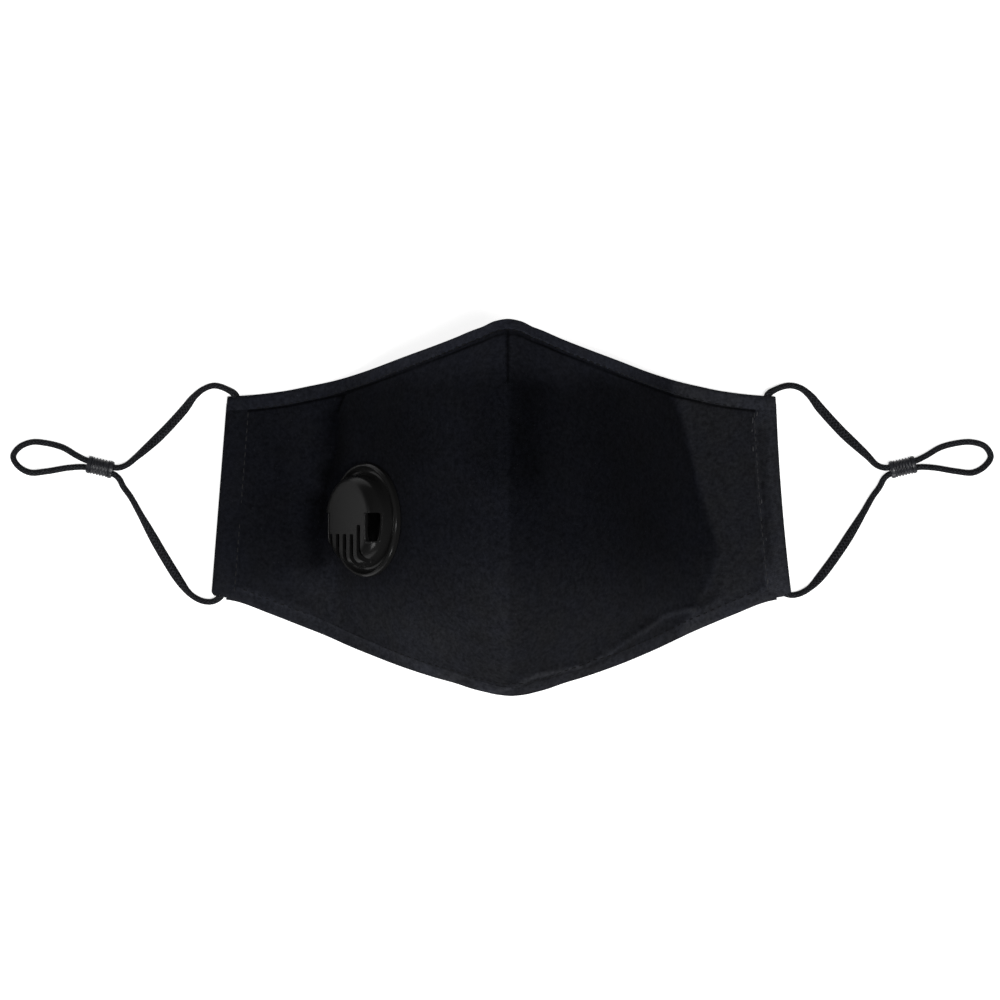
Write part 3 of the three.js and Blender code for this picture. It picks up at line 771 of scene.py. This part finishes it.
def signed_share(a):
    """Side and share of the way out for places from 0, the left edge, to 1, the right edge. The
    power draws the grid's lines together at the ridge."""
    c = 2 * a - 1
    return np.where(c < 0, -1.0, 1.0), np.abs(c) ** CLOTH_POWER


# %% [markdown]
# The body itself is one grid. It stops where the bands and casings cover it, has the dart's seam
# at the nose, and a hole for the valve's neck. How dark the painted shade in a fold is, and how
# much painted light a place gets, is worked out once for each point and stored there, where the
# material finds it.

# %% Cloth body
BODY_INSET = 1.6
DART_FOOT = 40.4
DART_WIDTH = 0.55
DART_DEPTH = 1.7
SEAM_OVERLAP = 0.15
BODY_COLUMNS, BODY_ROWS = 264, 168
FLAT_WIDTH, FLAT_LENGTH = 0.237, 0.135
HOLE_RADIUS, HOLE_DEPTH = 14 * MM, 3 * MM


def body_place(a, b):
    """Where a point of the body's grid goes. Its place out and its place up hang together, so
    they are worked out three times over."""
    side, share = signed_share(a)
    seam = CASING_WIDTH - SEAM_OVERLAP
    up = 0.5
    for _ in range(3):
        out = share * (1 - seam / reach(side, up))
        inset = BODY_INSET / (top_edge(out) - bottom_edge(out))
        up = inset + (1 - 2 * inset) * b
    points = cloth(side, out, up)
    x, y = points[:, 0] - RIDGE_OFFSET, points[:, 1]
    dart = np.exp(-((x / DART_WIDTH) ** 2)) * np.clip((y - DART_FOOT) / 1.2, 0, 1)
    pucker = 0.35 * np.exp(-((x / 2.4) ** 2)) * np.clip((y - DART_FOOT + 3) / 6, 0, 1)
    points[:, 2] -= DART_DEPTH * dart - pucker
    return points


body = grid("cotton_body", BODY_COLUMNS, BODY_ROWS, body_place, (FLAT_WIDTH, FLAT_LENGTH))

# The valve's neck goes through the cloth: the quads under its flange are taken out
inside = seat_frame.inverted()
select_only(body)
bpy.ops.object.mode_set(mode="EDIT")
bpy.ops.mesh.select_all(action="DESELECT")
bpy.ops.object.mode_set(mode="OBJECT")
for polygon in body.data.polygons:
    local = inside @ polygon.center
    polygon.select = math.hypot(local.x, local.y) < HOLE_RADIUS and abs(local.z) < HOLE_DEPTH
bpy.ops.object.mode_set(mode="EDIT")
bpy.ops.mesh.delete(type="FACE")
bpy.ops.object.mode_set(mode="OBJECT")


def dart_shade(x, y):
    """How dark the painted shade in the dart's seam is."""
    return 0.98 * np.exp(-(((x - RIDGE_OFFSET) / 0.75) ** 4)) * np.clip((y - DART_FOOT) / 0.6, 0, 1)


def keep_shade(piece, *shades):
    """Stores the darkest of some painted shades, and the painted light, on the points of a piece."""
    x, y = (coordinates(piece)[:, :2] / MM).T.astype(float)
    store(piece, "fold", np.maximum.reduce([np.zeros_like(x), *(shade(x, y) for shade in shades)]))
    store(piece, "lit_places", lit_places(x, y))


keep_shade(body, fold_shade, dart_shade, hem_shade)
thicken(body, BODY_WALL)
print("body faces", len(body.data.polygons))

# %% [markdown]
# The colour is a dark tone times painted light, lighter towards the chin, the nose, just left of
# the ridge, the left side and the flat right side, times a mottle of three noises, times the
# weave, and less where painted shade lies in the folds.

# %% Black cotton
THREAD_PITCH = 0.62 * MM
COTTON_TONE = 0.0095


def black_cotton(name, tone=1.0):
    """Plain weave with soft mottling and lint, and painted light, lighter towards the mask's edges."""
    finish = Finish(name)
    across, along = finish.parts(finish.place("uv"))
    where = finish.place("object")
    x, y = finish.parts(where)
    warp = (across * (2 * math.pi / THREAD_PITCH)).sine()
    weft = (along * (2 * math.pi / THREAD_PITCH)).sine()
    weave = warp * weft
    slub = finish.noise(where, 900, 3, 0.6)
    cloud = finish.noise(where, 26, 2)
    drift = (cloud - 0.5) * (12 * MM)
    # The masks low, nose, ridge and left, and the number stored on the points, are painted light: lighter
    # towards the chin and the nose, just left of the ridge, on the left and on the flat right.
    low = (y + drift).ramp(-4 * MM, -42 * MM)
    nose = (y + drift).ramp(38 * MM, 50 * MM)
    ridge = (x + drift).ramp(-34 * MM, -6 * MM) * (x * -1).ramp(-3.5 * MM, -1.5 * MM)
    left = (x * -1 + drift).ramp(50 * MM, 68 * MM)
    right = finish.attribute("lit_places")
    fold = finish.attribute("fold")
    painted_light = 0.64 + low * 0.66 + nose * 0.68 + ridge * (1 - nose) * 0.24 + left * 0.06 + right * 0.84
    patches = finish.noise(where, 480, 3, 0.6)
    mottle = 0.39 + cloud * 0.44 + slub.ramp(0.3, 0.7) * 0.46 + patches.ramp(0.3, 0.7) * 0.32
    lint = finish.noise(where, 1500, 1).ramp(0.735, 0.8)
    # fold holds painted shade: darker in folds, in the dart's seam and along the nose band's hem.
    shade = (painted_light * mottle * tone) * (1 + weave * 0.12) * (1 - fold)
    # The cloth is less blue by a random noise and, as painted light, on the flat right side and low down.
    tint = finish.noise(where, 120, 2).ramp(0.3, 0.7) * 0.4 + right.most(low) * 0.6
    dye_and_lit_tint = finish.mix(tint, grey(COTTON_TONE * 10, 0.5), grey(COTTON_TONE * 10, 0.18))
    colour = finish.mix(shade * 0.1, grey(0.0), dye_and_lit_tint)
    colour = finish.mix(lint * 0.07, colour, grey(0.16, 0.2))
    creased = finish.bump(patches, 0.9 * MM, 0.35)
    grain = finish.bump(slub, 0.22 * MM, 0.5, under=creased)
    bump = finish.bump(weave, 0.06 * MM, 0.55, under=grain)
    finish.set(Base_Color=colour, Roughness=0.86 + slub * 0.12, Normal=bump)
    finish.set(Specular_IOR_Level=0.006, Sheen_Weight=0.01, Sheen_Roughness=0.5)
    return finish


cotton_finish = black_cotton("black_cotton")
edge_finishes = {
    "nose_band": black_cotton("nose_cotton", 1.75),
    "chin_band": black_cotton("chin_cotton", 1.38),
}
# The right casing is a lighter copy than the left: painted light on the mask's right side.
casing_finishes = {
    "left": black_cotton("left_cotton", 1.1),
    "right": black_cotton("right_cotton", 1.46),
}
dress(body, cotton_finish)
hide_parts("mask_body")

# %% [markdown]
# A folded band binds the nose edge and another the chin edge. Each is a strip bent to a U round
# the edge of the cloth. The band's cross-section starts at its inner hem, goes round the fold
# and ends at its outer hem, and both hems lie on the cloth.

# %% Bands over the nose and chin edges
BAND_WALL = 0.7
BAND_PROUD = 0.52
CHIN_HEM = 0.42
BAND_HALF = 1.2
BAND_HALF_AT_CASING = 1.7
CASING_COVER = 9.0
EDGE_STEP = 3.0
BAND_LENGTH, BAND_GIRTH = 0.24, 0.012
BAND_COLUMNS, BAND_ROWS = 420, 26


def edge_place(side, out, edge, inset):
    """Origin, outward direction and normal at a distance inside an edge of the cloth."""
    span = top_edge(out) - bottom_edge(out)
    up = np.abs(edge - inset / span)
    inner_up = np.abs(edge - (inset + EDGE_STEP) / span)
    origin = cloth(side, out, up)
    normal = cloth_normal(side, out, up)
    away = origin - cloth(side, out, inner_up)
    away -= np.sum(away * normal, axis=-1)[..., None] * normal
    return origin, unit(away), normal


def band_place(edge, end_gap):
    """Where the points of a band's strip go: a runs along the edge and b round its fold."""

    def place(a, b):
        side, share = signed_share(a)
        out = share * (1 - end_gap / reach(side, edge))
        from_end = (1 - out) * reach(side, edge)
        thick = np.clip((CASING_COVER - from_end) / 3, 0, 1) * (edge > 0.5)
        half = BAND_HALF + (BAND_HALF_AT_CASING - BAND_HALF) * thick
        origin, away, normal = edge_place(side, out, edge, half + BAND_WALL / 2 - BAND_PROUD)
        skirt = BAND_WIDTH - half - BAND_WALL / 2
        fold = half * math.pi / 2
        run = np.abs(2 * b - 1) * (skirt + fold)
        angle = np.minimum(run / half, math.pi / 2)
        x = half * np.cos(angle) - np.maximum(0, run - fold)
        hem = np.clip((run - 0.6 * fold) / (skirt + 0.4 * fold), 0, 1) * (edge < 0.5) * (b > 0.5)
        y = (half * np.sin(angle) * (1 - hem) + CHIN_HEM * hem) * np.where(b < 0.5, -1, 1)
        return origin + x[..., None] * away + y[..., None] * normal

    return place


for edge, end_gap, name, node in (
    (1, 0.3, "nose_band", "top_binding"),
    (0, CASING_WIDTH - 2, "chin_band", "bottom_binding"),
):
    place = band_place(edge, end_gap)
    band = grid(name, BAND_COLUMNS, BAND_ROWS, place, (BAND_LENGTH, BAND_GIRTH))
    keep_shade(band)
    thicken(band, BAND_WALL)
    dress(band, edge_finishes[name])
    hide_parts(node)
    print(name, "faces", len(band.data.polygons))

# %% [markdown]
# Down each side edge the cloth is turned over and sewn to a flat sleeve, the casing, with the
# elastic inside. The same closed cross-section is swept from the chin corner to the nose
# corner, flatter at its ends, where it runs in under the bands.

# %% Side casings
HEM_WIDTH = 8.7
CASING_START, CASING_END = 0.004, 0.972
CASING_STEPS = 110

# Columns: share of the hem's width from the side edge, half of its thickness in millimetres
HEM_SECTION = [
    (0, 0), (0.012, 0.75), (0.05, 1.35), (0.14, 2.0), (0.32, 2.3), (0.55, 2.15), (0.74, 1.55),
    (0.87, 0.98), (0.93, 1.05), (0.985, 0.9), (1, 0),
]


def casing_rings(side):
    """Rings of points of a casing from its chin end to its nose end, in metres."""
    shares = np.array([row[0] for row in HEM_SECTION])
    halves = np.array([row[1] for row in HEM_SECTION])
    around = np.concatenate([shares, shares[-2:0:-1]])
    lifts = np.concatenate([halves, -halves[-2:0:-1]])
    length = SIDE_TOP - SIDE_BOTTOM
    rings, along = [], []
    for k in range(CASING_STEPS + 1):
        up = CASING_START + (CASING_END - CASING_START) * k / CASING_STEPS
        from_chin, from_nose = up * length, (1 - up) * length
        flat = 1 - 0.45 * math.exp(-((from_nose / 5) ** 2)) - 0.35 * math.exp(-((from_chin / 3) ** 2))
        corner = 1.4 * max(0, 1 - from_chin / 1.6) ** 2
        distance = corner + around * (HEM_WIDTH - corner)
        out = 1 - distance / reach(side, up)
        x, y = plan(side, out, up)
        rings.append(np.stack([x, y, FLAT_HEIGHT + lifts * flat], axis=-1) * MM)
        along.append(up * length * MM)
    return rings, along


for label, side in SIDES:
    rings, along = casing_rings(side)
    casing = tube_mesh(f"casing_{label}", rings, along, 2 * HEM_WIDTH * MM)
    keep_shade(casing, fold_shade)
    dress(casing, casing_finishes[label])
    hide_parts(f"side_casing_{label}")
    print(casing.name, "faces", len(casing.data.polygons))

# %% [markdown]
# The valve's cover is turned plastic: a flange with a raised rim, and a dome with a flat face.
# Its profile is drawn once, point by point, and spun about the valve's axis. Slots and side
# windows are then cut with boolean modifiers, and a bevel rounds the sharp edges so that they
# catch the light.

# %% Valve cover
DOME_RADIUS = 15.3
COVER_HEIGHT = 9.5
CLEARANCE = 0.3
COVER_BASE = BODY_WALL / 2 + CLEARANCE
MATT_FROM = 6.5


def turned(name, profile, steps):
    """Draws a closed profile of radius and height pairs in millimetres and spins it about Z."""
    start = (profile[0][0] * MM, 0, profile[0][1] * MM)
    bpy.ops.mesh.primitive_plane_add(size=MM, location=start)
    piece = bpy.context.object
    piece.name = name
    bpy.ops.object.transform_apply(location=True, rotation=True, scale=True)
    bpy.ops.object.mode_set(mode="EDIT")
    bpy.ops.mesh.select_all(action="SELECT")
    bpy.ops.mesh.merge(type="CENTER")
    for (r0, z0), (r1, z1) in zip(profile, [*profile[1:], profile[0]]):
        step = ((r1 - r0) * MM, 0, (z1 - z0) * MM)
        bpy.ops.mesh.extrude_region_move(TRANSFORM_OT_translate={"value": step})
    bpy.ops.mesh.select_all(action="SELECT")
    bpy.ops.mesh.spin(steps=steps, angle=2 * math.pi, center=(0, 0, 0), axis=(0, 0, 1))
    bpy.ops.mesh.select_all(action="SELECT")
    bpy.ops.mesh.remove_doubles(threshold=0.005 * MM)
    bpy.ops.mesh.dissolve_degenerate(threshold=0.002 * MM)
    bpy.ops.mesh.normals_make_consistent(inside=False)
    bpy.ops.object.mode_set(mode="OBJECT")
    return piece


def cut_out(piece, tool):
    apply_modifier(piece, "BOOLEAN", operation="DIFFERENCE", object=tool, solver="EXACT")
    bpy.data.objects.remove(tool)


def cut_box(piece, size, middle, rounding):
    """Cuts a box with rounded edges out of a piece, in millimetres."""
    bpy.ops.mesh.primitive_cube_add(size=MM, location=[value * MM for value in middle])
    tool = bpy.context.object
    tool.scale = size
    bpy.ops.object.transform_apply(location=True, rotation=True, scale=True)
    apply_modifier(tool, "BEVEL", width=rounding * MM, segments=3, limit_method="ANGLE")
    cut_out(piece, tool)


def on_seat(piece):
    """Carries the points of a piece made about the origin to the valve's place."""
    piece.data.transform(seat_frame)
    piece.data.update()


SHOULDER = COVER_BASE + 2.1
COVER_PROFILE = [
    (19.1, COVER_BASE), (19.1, SHOULDER - 1.0), (19.02, SHOULDER - 0.6), (18.8, SHOULDER - 0.22),
    (18.45, SHOULDER), (18.05, SHOULDER - 0.05), (17.75, SHOULDER - 0.35), (17.5, SHOULDER - 0.85),
    (17.1, SHOULDER - 1.35), (16.5, SHOULDER - 1.6), (15.95, SHOULDER - 1.4), (15.6, SHOULDER - 0.8),
    (15.4, SHOULDER), (15.3, 4.7), (15.05, 6.1), (14.7, 7.2), (14.25, 8.05), (13.7, 8.72), (13.1, 9.18),
    (12.45, 9.4), (11.7, 9.49), (10.9, 9.5), (0, 9.5), (0, 8.7),
    (11.7, 8.6), (12.9, 7.7), (13.7, 5.6), (13.9, SHOULDER), (13.9, COVER_BASE),
]
SLOT_COUNT, SLOT_PITCH, SLOT_WIDTH, SLOT_SHIFT = 5, 4.1, 2.1, -1.4
SLOT_TOP, LAST_SLOT_RISE, SLOT_FOOT = 4.6, 3.1, 0.35
SLOT_ROUNDING, WINDOW_ROUNDING = 0.5, 0.7
WINDOW_TOP, WINDOW_LENGTH, WINDOW_FOOT, WINDOW_INSIDE = 2.5, 9.8, 2.3, 10.9

cover = turned("valve_cover_fine", COVER_PROFILE, 112)
for number in range(SLOT_COUNT):
    across = SLOT_SHIFT + (number - (SLOT_COUNT - 1) / 2) * SLOT_PITCH
    top = -SLOT_TOP + (LAST_SLOT_RISE if number == SLOT_COUNT - 1 else 0)
    length = 2 * DOME_RADIUS
    middle = (across, top - length / 2, SHOULDER + SLOT_FOOT + COVER_HEIGHT)
    cut_box(cover, (SLOT_WIDTH, length, 2 * COVER_HEIGHT), middle, SLOT_ROUNDING)
for side in (-1, 1):
    middle = (
        side * (WINDOW_INSIDE + DOME_RADIUS / 2),
        WINDOW_TOP - WINDOW_LENGTH / 2,
        SHOULDER + WINDOW_FOOT + COVER_HEIGHT / 2,
    )
    cut_box(cover, (DOME_RADIUS, WINDOW_LENGTH, COVER_HEIGHT), middle, WINDOW_ROUNDING)
apply_modifier(cover, "BEVEL", width=0.16 * MM, segments=2, limit_method="ANGLE", angle_limit=0.7)
heights = coordinates(cover)[:, 2] / MM
store(cover, "matt", np.clip((heights - MATT_FROM) / (COVER_HEIGHT - MATT_FROM), 0, 1))
on_seat(cover)
select_only(cover)
bpy.ops.object.shade_smooth_by_angle(angle=math.radians(35))
apply_modifier(cover, "WEIGHTED_NORMAL", keep_sharp=True, weight=80)


def black_plastic(name, tone, gloss):
    """Moulded plastic: faint flow marks and fine scratches in its gloss, a duller face, and painted light
    below it.
    """
    finish = Finish(name)
    where = finish.place("object")
    flow = finish.noise(where, 55, 3)
    fine = finish.noise(where, 2200, 2)
    scratch = finish.noise(where, 420, 5, 0.7).ramp(0.6, 0.72)
    matt = finish.attribute("matt")
    colour = finish.mix(flow, grey(tone * 0.8), grey(tone * 1.2))
    # Below the matt face the colour is almost twice as light: painted light for the rim, groove and lower
    # walls.
    colour = finish.mix(matt, grey(tone * 1.9), colour)
    bump = finish.bump(fine, 0.012 * MM, 0.4)
    roughness = gloss + matt * 0.16 + flow * 0.05 + scratch * 0.04
    finish.set(Base_Color=colour, Roughness=roughness, Normal=bump, Specular_IOR_Level=0.08)
    return finish


plastic_finish = black_plastic("black_plastic", 0.0054, 0.14)
dress(cover, plastic_finish)
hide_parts("valve_cover")
print("cover faces", len(cover.data.polygons))

# %% [markdown]
# Each side window has a thin raised frame, as moulded covers do to stiffen a thin edge. It goes
# down along the face, round the window's foot end and back up the dome's side, and stays open
# at the top. It is a tube along a line of points, as the cords are.

# %% Window frames
FRAME_WIDTH = 0.8
FRAME_RADIUS = 14.95
FRAME_GAP = 0.35
FRAME_SIDES = 8
DOME = COVER_PROFILE[12:22]


def dome_point(across, along):
    """A point on the dome's surface, in the cover's own frame, over a place inside its radius."""
    radii, heights = zip(*DOME[::-1])
    return across, along, float(np.interp(math.hypot(across, along), radii, heights))


def window_frame(name, side):
    """A U-shaped bead round the foot end of a window, on the dome."""
    foot = WINDOW_TOP - WINDOW_LENGTH - FRAME_GAP
    inner = side * (WINDOW_INSIDE - 0.3)
    points = [dome_point(inner, y) for y in np.linspace(WINDOW_TOP, foot + 1.2, 12)]
    for x in np.linspace(WINDOW_INSIDE + 0.1, 12.1, 6):
        points.append(dome_point(side * x, foot + FRAME_GAP))
    for y in np.linspace(foot + 0.8, WINDOW_TOP, 12):
        x = side * math.sqrt(FRAME_RADIUS**2 - y * y)
        points.append((x, y, SHOULDER + WINDOW_FOOT - 0.2))
    line, _, along = smooth_line(points, 0.35)
    angles = 2 * math.pi * np.arange(FRAME_SIDES) / FRAME_SIDES
    rings = []
    for point, tangent in zip(line, unit(np.gradient(line, axis=0))):
        across = unit(np.cross(tangent, (point[0], point[1], 4.0)))
        up = 0.6 * np.cross(across, tangent)
        ring = np.outer(np.cos(angles), across) + np.outer(np.sin(angles), up)
        rings.append((point + FRAME_WIDTH / 2 * ring) * MM)
    piece = tube_mesh(name, rings, along * MM, 2.6 * FRAME_WIDTH * MM)
    on_seat(piece)
    dress(piece, plastic_finish)
    return piece


for label, side in (("upper", 1), ("lower", -1)):
    frame_piece = window_frame(f"window_frame_{label}", side)
    print(frame_piece.name, "faces", len(frame_piece.data.polygons))

# The seat and flap are almost black, much darker than the cover: their own black plastic and painted shade
# inside the valve.
inner_finish = black_plastic("valve_inside", 0.0006, 0.8)
for node in ("valve_seat", "valve_flap"):
    paint(bpy.data.objects[node], inner_finish)

# %% [markdown]
# A slider is a soft moulded sleeve with ribs, so that fingers can grip it. It is turned round
# its length and then pressed to an oval, and one oval hole lets both strands through.

# %% Cord sliders
SLIDER_PLACE = (136.2, 14, 2.3)
SLIDER_TILT = 13.4
SLIDER_LENGTH, SLIDER_RADIUS, SLIDER_FLATNESS = 9.1, 3.0, 0.74
COLLAR_LENGTH = 1.4
HOLE_SIZE = (4.6, 2.4)
RIB_COUNT = 6
RIB_STEPS = 6
RIB_DEPTH = 0.4


def slider_profile():
    half = SLIDER_LENGTH / 2
    radius = SLIDER_RADIUS
    profile = [(0, -half), (radius - 0.7, -half), (radius - 0.2, 0.2 - half), (radius, 0.7 - half)]
    profile.append((radius, COLLAR_LENGTH - half))
    pitch = (SLIDER_LENGTH - 2 * COLLAR_LENGTH) / RIB_COUNT
    for number in range(RIB_COUNT * RIB_STEPS):
        share = (number + 0.5) / RIB_STEPS
        wave = 0.5 - 0.5 * math.cos(2 * math.pi * share)
        z = COLLAR_LENGTH - half + pitch * share
        profile.append((radius - RIB_DEPTH * (1 - wave), z))
    profile += [(radius, half - COLLAR_LENGTH), (radius, half - 0.7), (radius - 0.2, half - 0.2)]
    return [*profile, (radius - 0.7, half), (0, half)]


def grey_rubber():
    """Soft moulded rubber: dull, a little dusty on its ribs."""
    finish = Finish("grey_rubber")
    where = finish.place("object")
    dust = finish.noise(where, 700, 3, 0.6)
    fine = finish.noise(where, 3500, 2)
    colour = finish.mix(dust.ramp(0.35, 0.7), grey(0.011, 0.3), grey(0.024, 0.25))
    finish.set(Base_Color=colour, Roughness=0.26 + dust * 0.12, Normal=finish.bump(fine, 0.02 * MM, 0.4))
    finish.set(Specular_IOR_Level=0.36)
    return finish


rubber_finish = grey_rubber()
for label, side in SIDES:
    slider = turned(f"slider_{label}", slider_profile(), 40)
    bpy.ops.mesh.primitive_cylinder_add(vertices=32, radius=0.5 * MM, depth=30 * MM)
    hole = bpy.context.object
    hole.scale = (*HOLE_SIZE, 1)
    bpy.ops.object.transform_apply(location=True, rotation=True, scale=True)
    slider.data.transform(Matrix.Diagonal((1, SLIDER_FLATNESS, 1, 1)))
    cut_out(slider, hole)
    x, y, z = SLIDER_PLACE
    place = Matrix.Translation((side * x * MM, y * MM, z * MM))
    turn = Matrix.Rotation(math.pi / 2 + side * math.radians(SLIDER_TILT), 4, "Z")
    slider.data.transform(place @ turn @ Matrix.Rotation(math.pi / 2, 4, "X"))
    select_only(slider)
    bpy.ops.object.shade_smooth_by_angle(angle=math.radians(40))
    dress(slider, rubber_finish)
    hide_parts(f"cord_slider_{label}")

# %% [markdown]
# For each loop, the line of points, the length and the point where the cord leaves the top of the
# casing are worked out. Both ends of this one go back into the casing.

# %% The loops' lines and exits
TOP_EXIT = 3
for label, side in SIDES:
    cord, line, length = cords[label]
    x, y, z = LEFT_ROUTE[TOP_EXIT]
    -side * x * MM
    y * MM
    [tuple(map(float, point)) for point in line[::4]] + [tuple(map(float, line[-1]))]

# %% [markdown]
# Thread shows as rows of short stitches that dip into the cloth at both ends. One stitch is a
# small bent pillow of six-sided rings. All stitches of a row are one mesh, because there are
# hundreds of them.

# %% Stitches
STITCH_LENGTH = 2.0
STITCH_PITCH = 2.7
STITCH_WIDTH = 0.42
STITCH_HEIGHT = 0.3
STITCH_SIDES = 6
STITCH_DIP = 0.22
STITCH_END_GAP = 10


def stitch_row(name, centres, along, up, finish, length=STITCH_LENGTH):
    """One mesh of stitches at points in millimetres, each along a direction and up from it."""
    centres, along, up = (np.array(values, float) for values in (centres, along, up))
    along = unit(along)
    aside = unit(np.cross(up, along))
    up = np.cross(along, aside)
    stations = np.linspace(-1, 1, 7)
    swell = np.sqrt(np.clip(1 - stations**4, 0.02, 1))
    dip = -STITCH_DIP * stations**4
    angles = 2 * math.pi * np.arange(STITCH_SIDES) / STITCH_SIDES
    points, faces = [], []
    for centre, forward, sideways, out in zip(centres, along, aside, up):
        start = len(points)
        for station, fat, drop in zip(stations, swell, dip):
            middle = centre + station * length / 2 * forward + drop * out
            for angle in angles:
                x = fat * STITCH_WIDTH / 2 * math.cos(angle)
                z = fat * STITCH_HEIGHT / 2 * math.sin(angle)
                points.append((middle + x * sideways + z * out) * MM)
        for ring in range(len(stations) - 1):
            for k in range(STITCH_SIDES):
                a = start + ring * STITCH_SIDES + k
                b = start + ring * STITCH_SIDES + (k + 1) % STITCH_SIDES
                faces.append((a, b, b + STITCH_SIDES, a + STITCH_SIDES))
        faces.append(tuple(start + k for k in range(STITCH_SIDES))[::-1])
        faces.append(tuple(len(points) - STITCH_SIDES + k for k in range(STITCH_SIDES)))
    mesh = bpy.data.meshes.new(name)
    mesh.from_pydata([tuple(map(float, point)) for point in points], [], faces)
    piece = smooth_piece(name, mesh)
    dress(piece, finish)


def thread(name, tone, sheen):
    """Twisted sewing thread."""
    finish = Finish(name)
    fibres = finish.noise(finish.place("object"), 5200, 2)
    colour = finish.mix(fibres, grey(tone * 0.6, 0.1), grey(tone * 1.4, 0.1))
    finish.set(Base_Color=colour, Roughness=0.6 + fibres * 0.2, Normal=finish.bump(fibres, 0.05 * MM))
    finish.set(Specular_IOR_Level=sheen)
    return finish


def even_stops(points, pitch):
    """Centres and directions at an even pitch along a line of points."""
    runs = runs_of(points)
    stops = np.arange(pitch / 2, runs[-1], pitch)
    ahead, behind = (points_at(stops + step, runs, points) for step in (0.3, -0.3))
    return points_at(stops, runs, points), ahead - behind


black_thread = thread("black_thread", 0.008, 0.05)
# The right row's thread is paler than the left row's.
casing_threads = {
    "left": thread("grey_thread", 0.016, 0.1),
    "right": thread("paler_thread", 0.03, 0.1),
}
pale_thread = thread("pale_thread", 0.05, 0.2)
for edge, name in ((1, "nose_band_stitches"), (0, "chin_band_stitches")):
    side, share = signed_share(np.linspace(0, 1, 1200))
    out = share * (1 - STITCH_END_GAP / reach(side, edge))
    lift = BAND_HALF + BAND_WALL / 2 - 0.05 if edge else BODY_WALL / 2 + 0.02
    origin, away, normal = edge_place(side, out, edge, BAND_WIDTH - 0.75)
    line = origin + lift * normal
    centres, along = even_stops(line, STITCH_PITCH)
    near = [int(np.argmin(np.linalg.norm(line - centre, axis=1))) for centre in centres]
    stitch_row(name, centres, along, normal[near], black_thread)

CASING_STITCH = 7.75
for label, side in SIDES:
    up = np.linspace(0.03, 0.925, 300)
    out = 1 - CASING_STITCH / reach(side, up)
    x, y = plan(side, out, up)
    line = np.stack([x, y, np.full_like(x, FLAT_HEIGHT + 1.08)], axis=1)
    centres, along = even_stops(line, STITCH_PITCH)
    upward = np.tile([0, 0, 1.0], (len(centres), 1))
    stitch_row(f"casing_stitches_{label}", centres, along, upward, casing_threads[label])

# Loose pale stitches down the right casing: plan points of both ends of each
LOOSE_STITCHES = [
    ((84.9, 34.2), (87.5, 34.0)), ((86.7, 32.9), (86.5, 31.3)), ((85.2, 31.0), (85.1, 28.8)),
    ((84.9, 27.0), (84.9, 26.0)), ((85.2, 21.2), (85.3, 19.3)), ((88.1, 3.2), (88.2, 1.6)),
    ((89.7, -9.5), (89.9, -11.4)), ((90.2, -23.6), (90.3, -25.6)),
]
ends = np.array(LOOSE_STITCHES, float)
for number, (start, end) in enumerate(ends):
    middle = [[*(start + end) / 2, FLAT_HEIGHT + 1.35]]
    forward = [[*(end - start), 0]]
    length = float(np.hypot(*(end - start)))
    stitch_row(f"loose_stitch_{number}", middle, forward, [[0, 0, 1.0]], pale_thread, length)
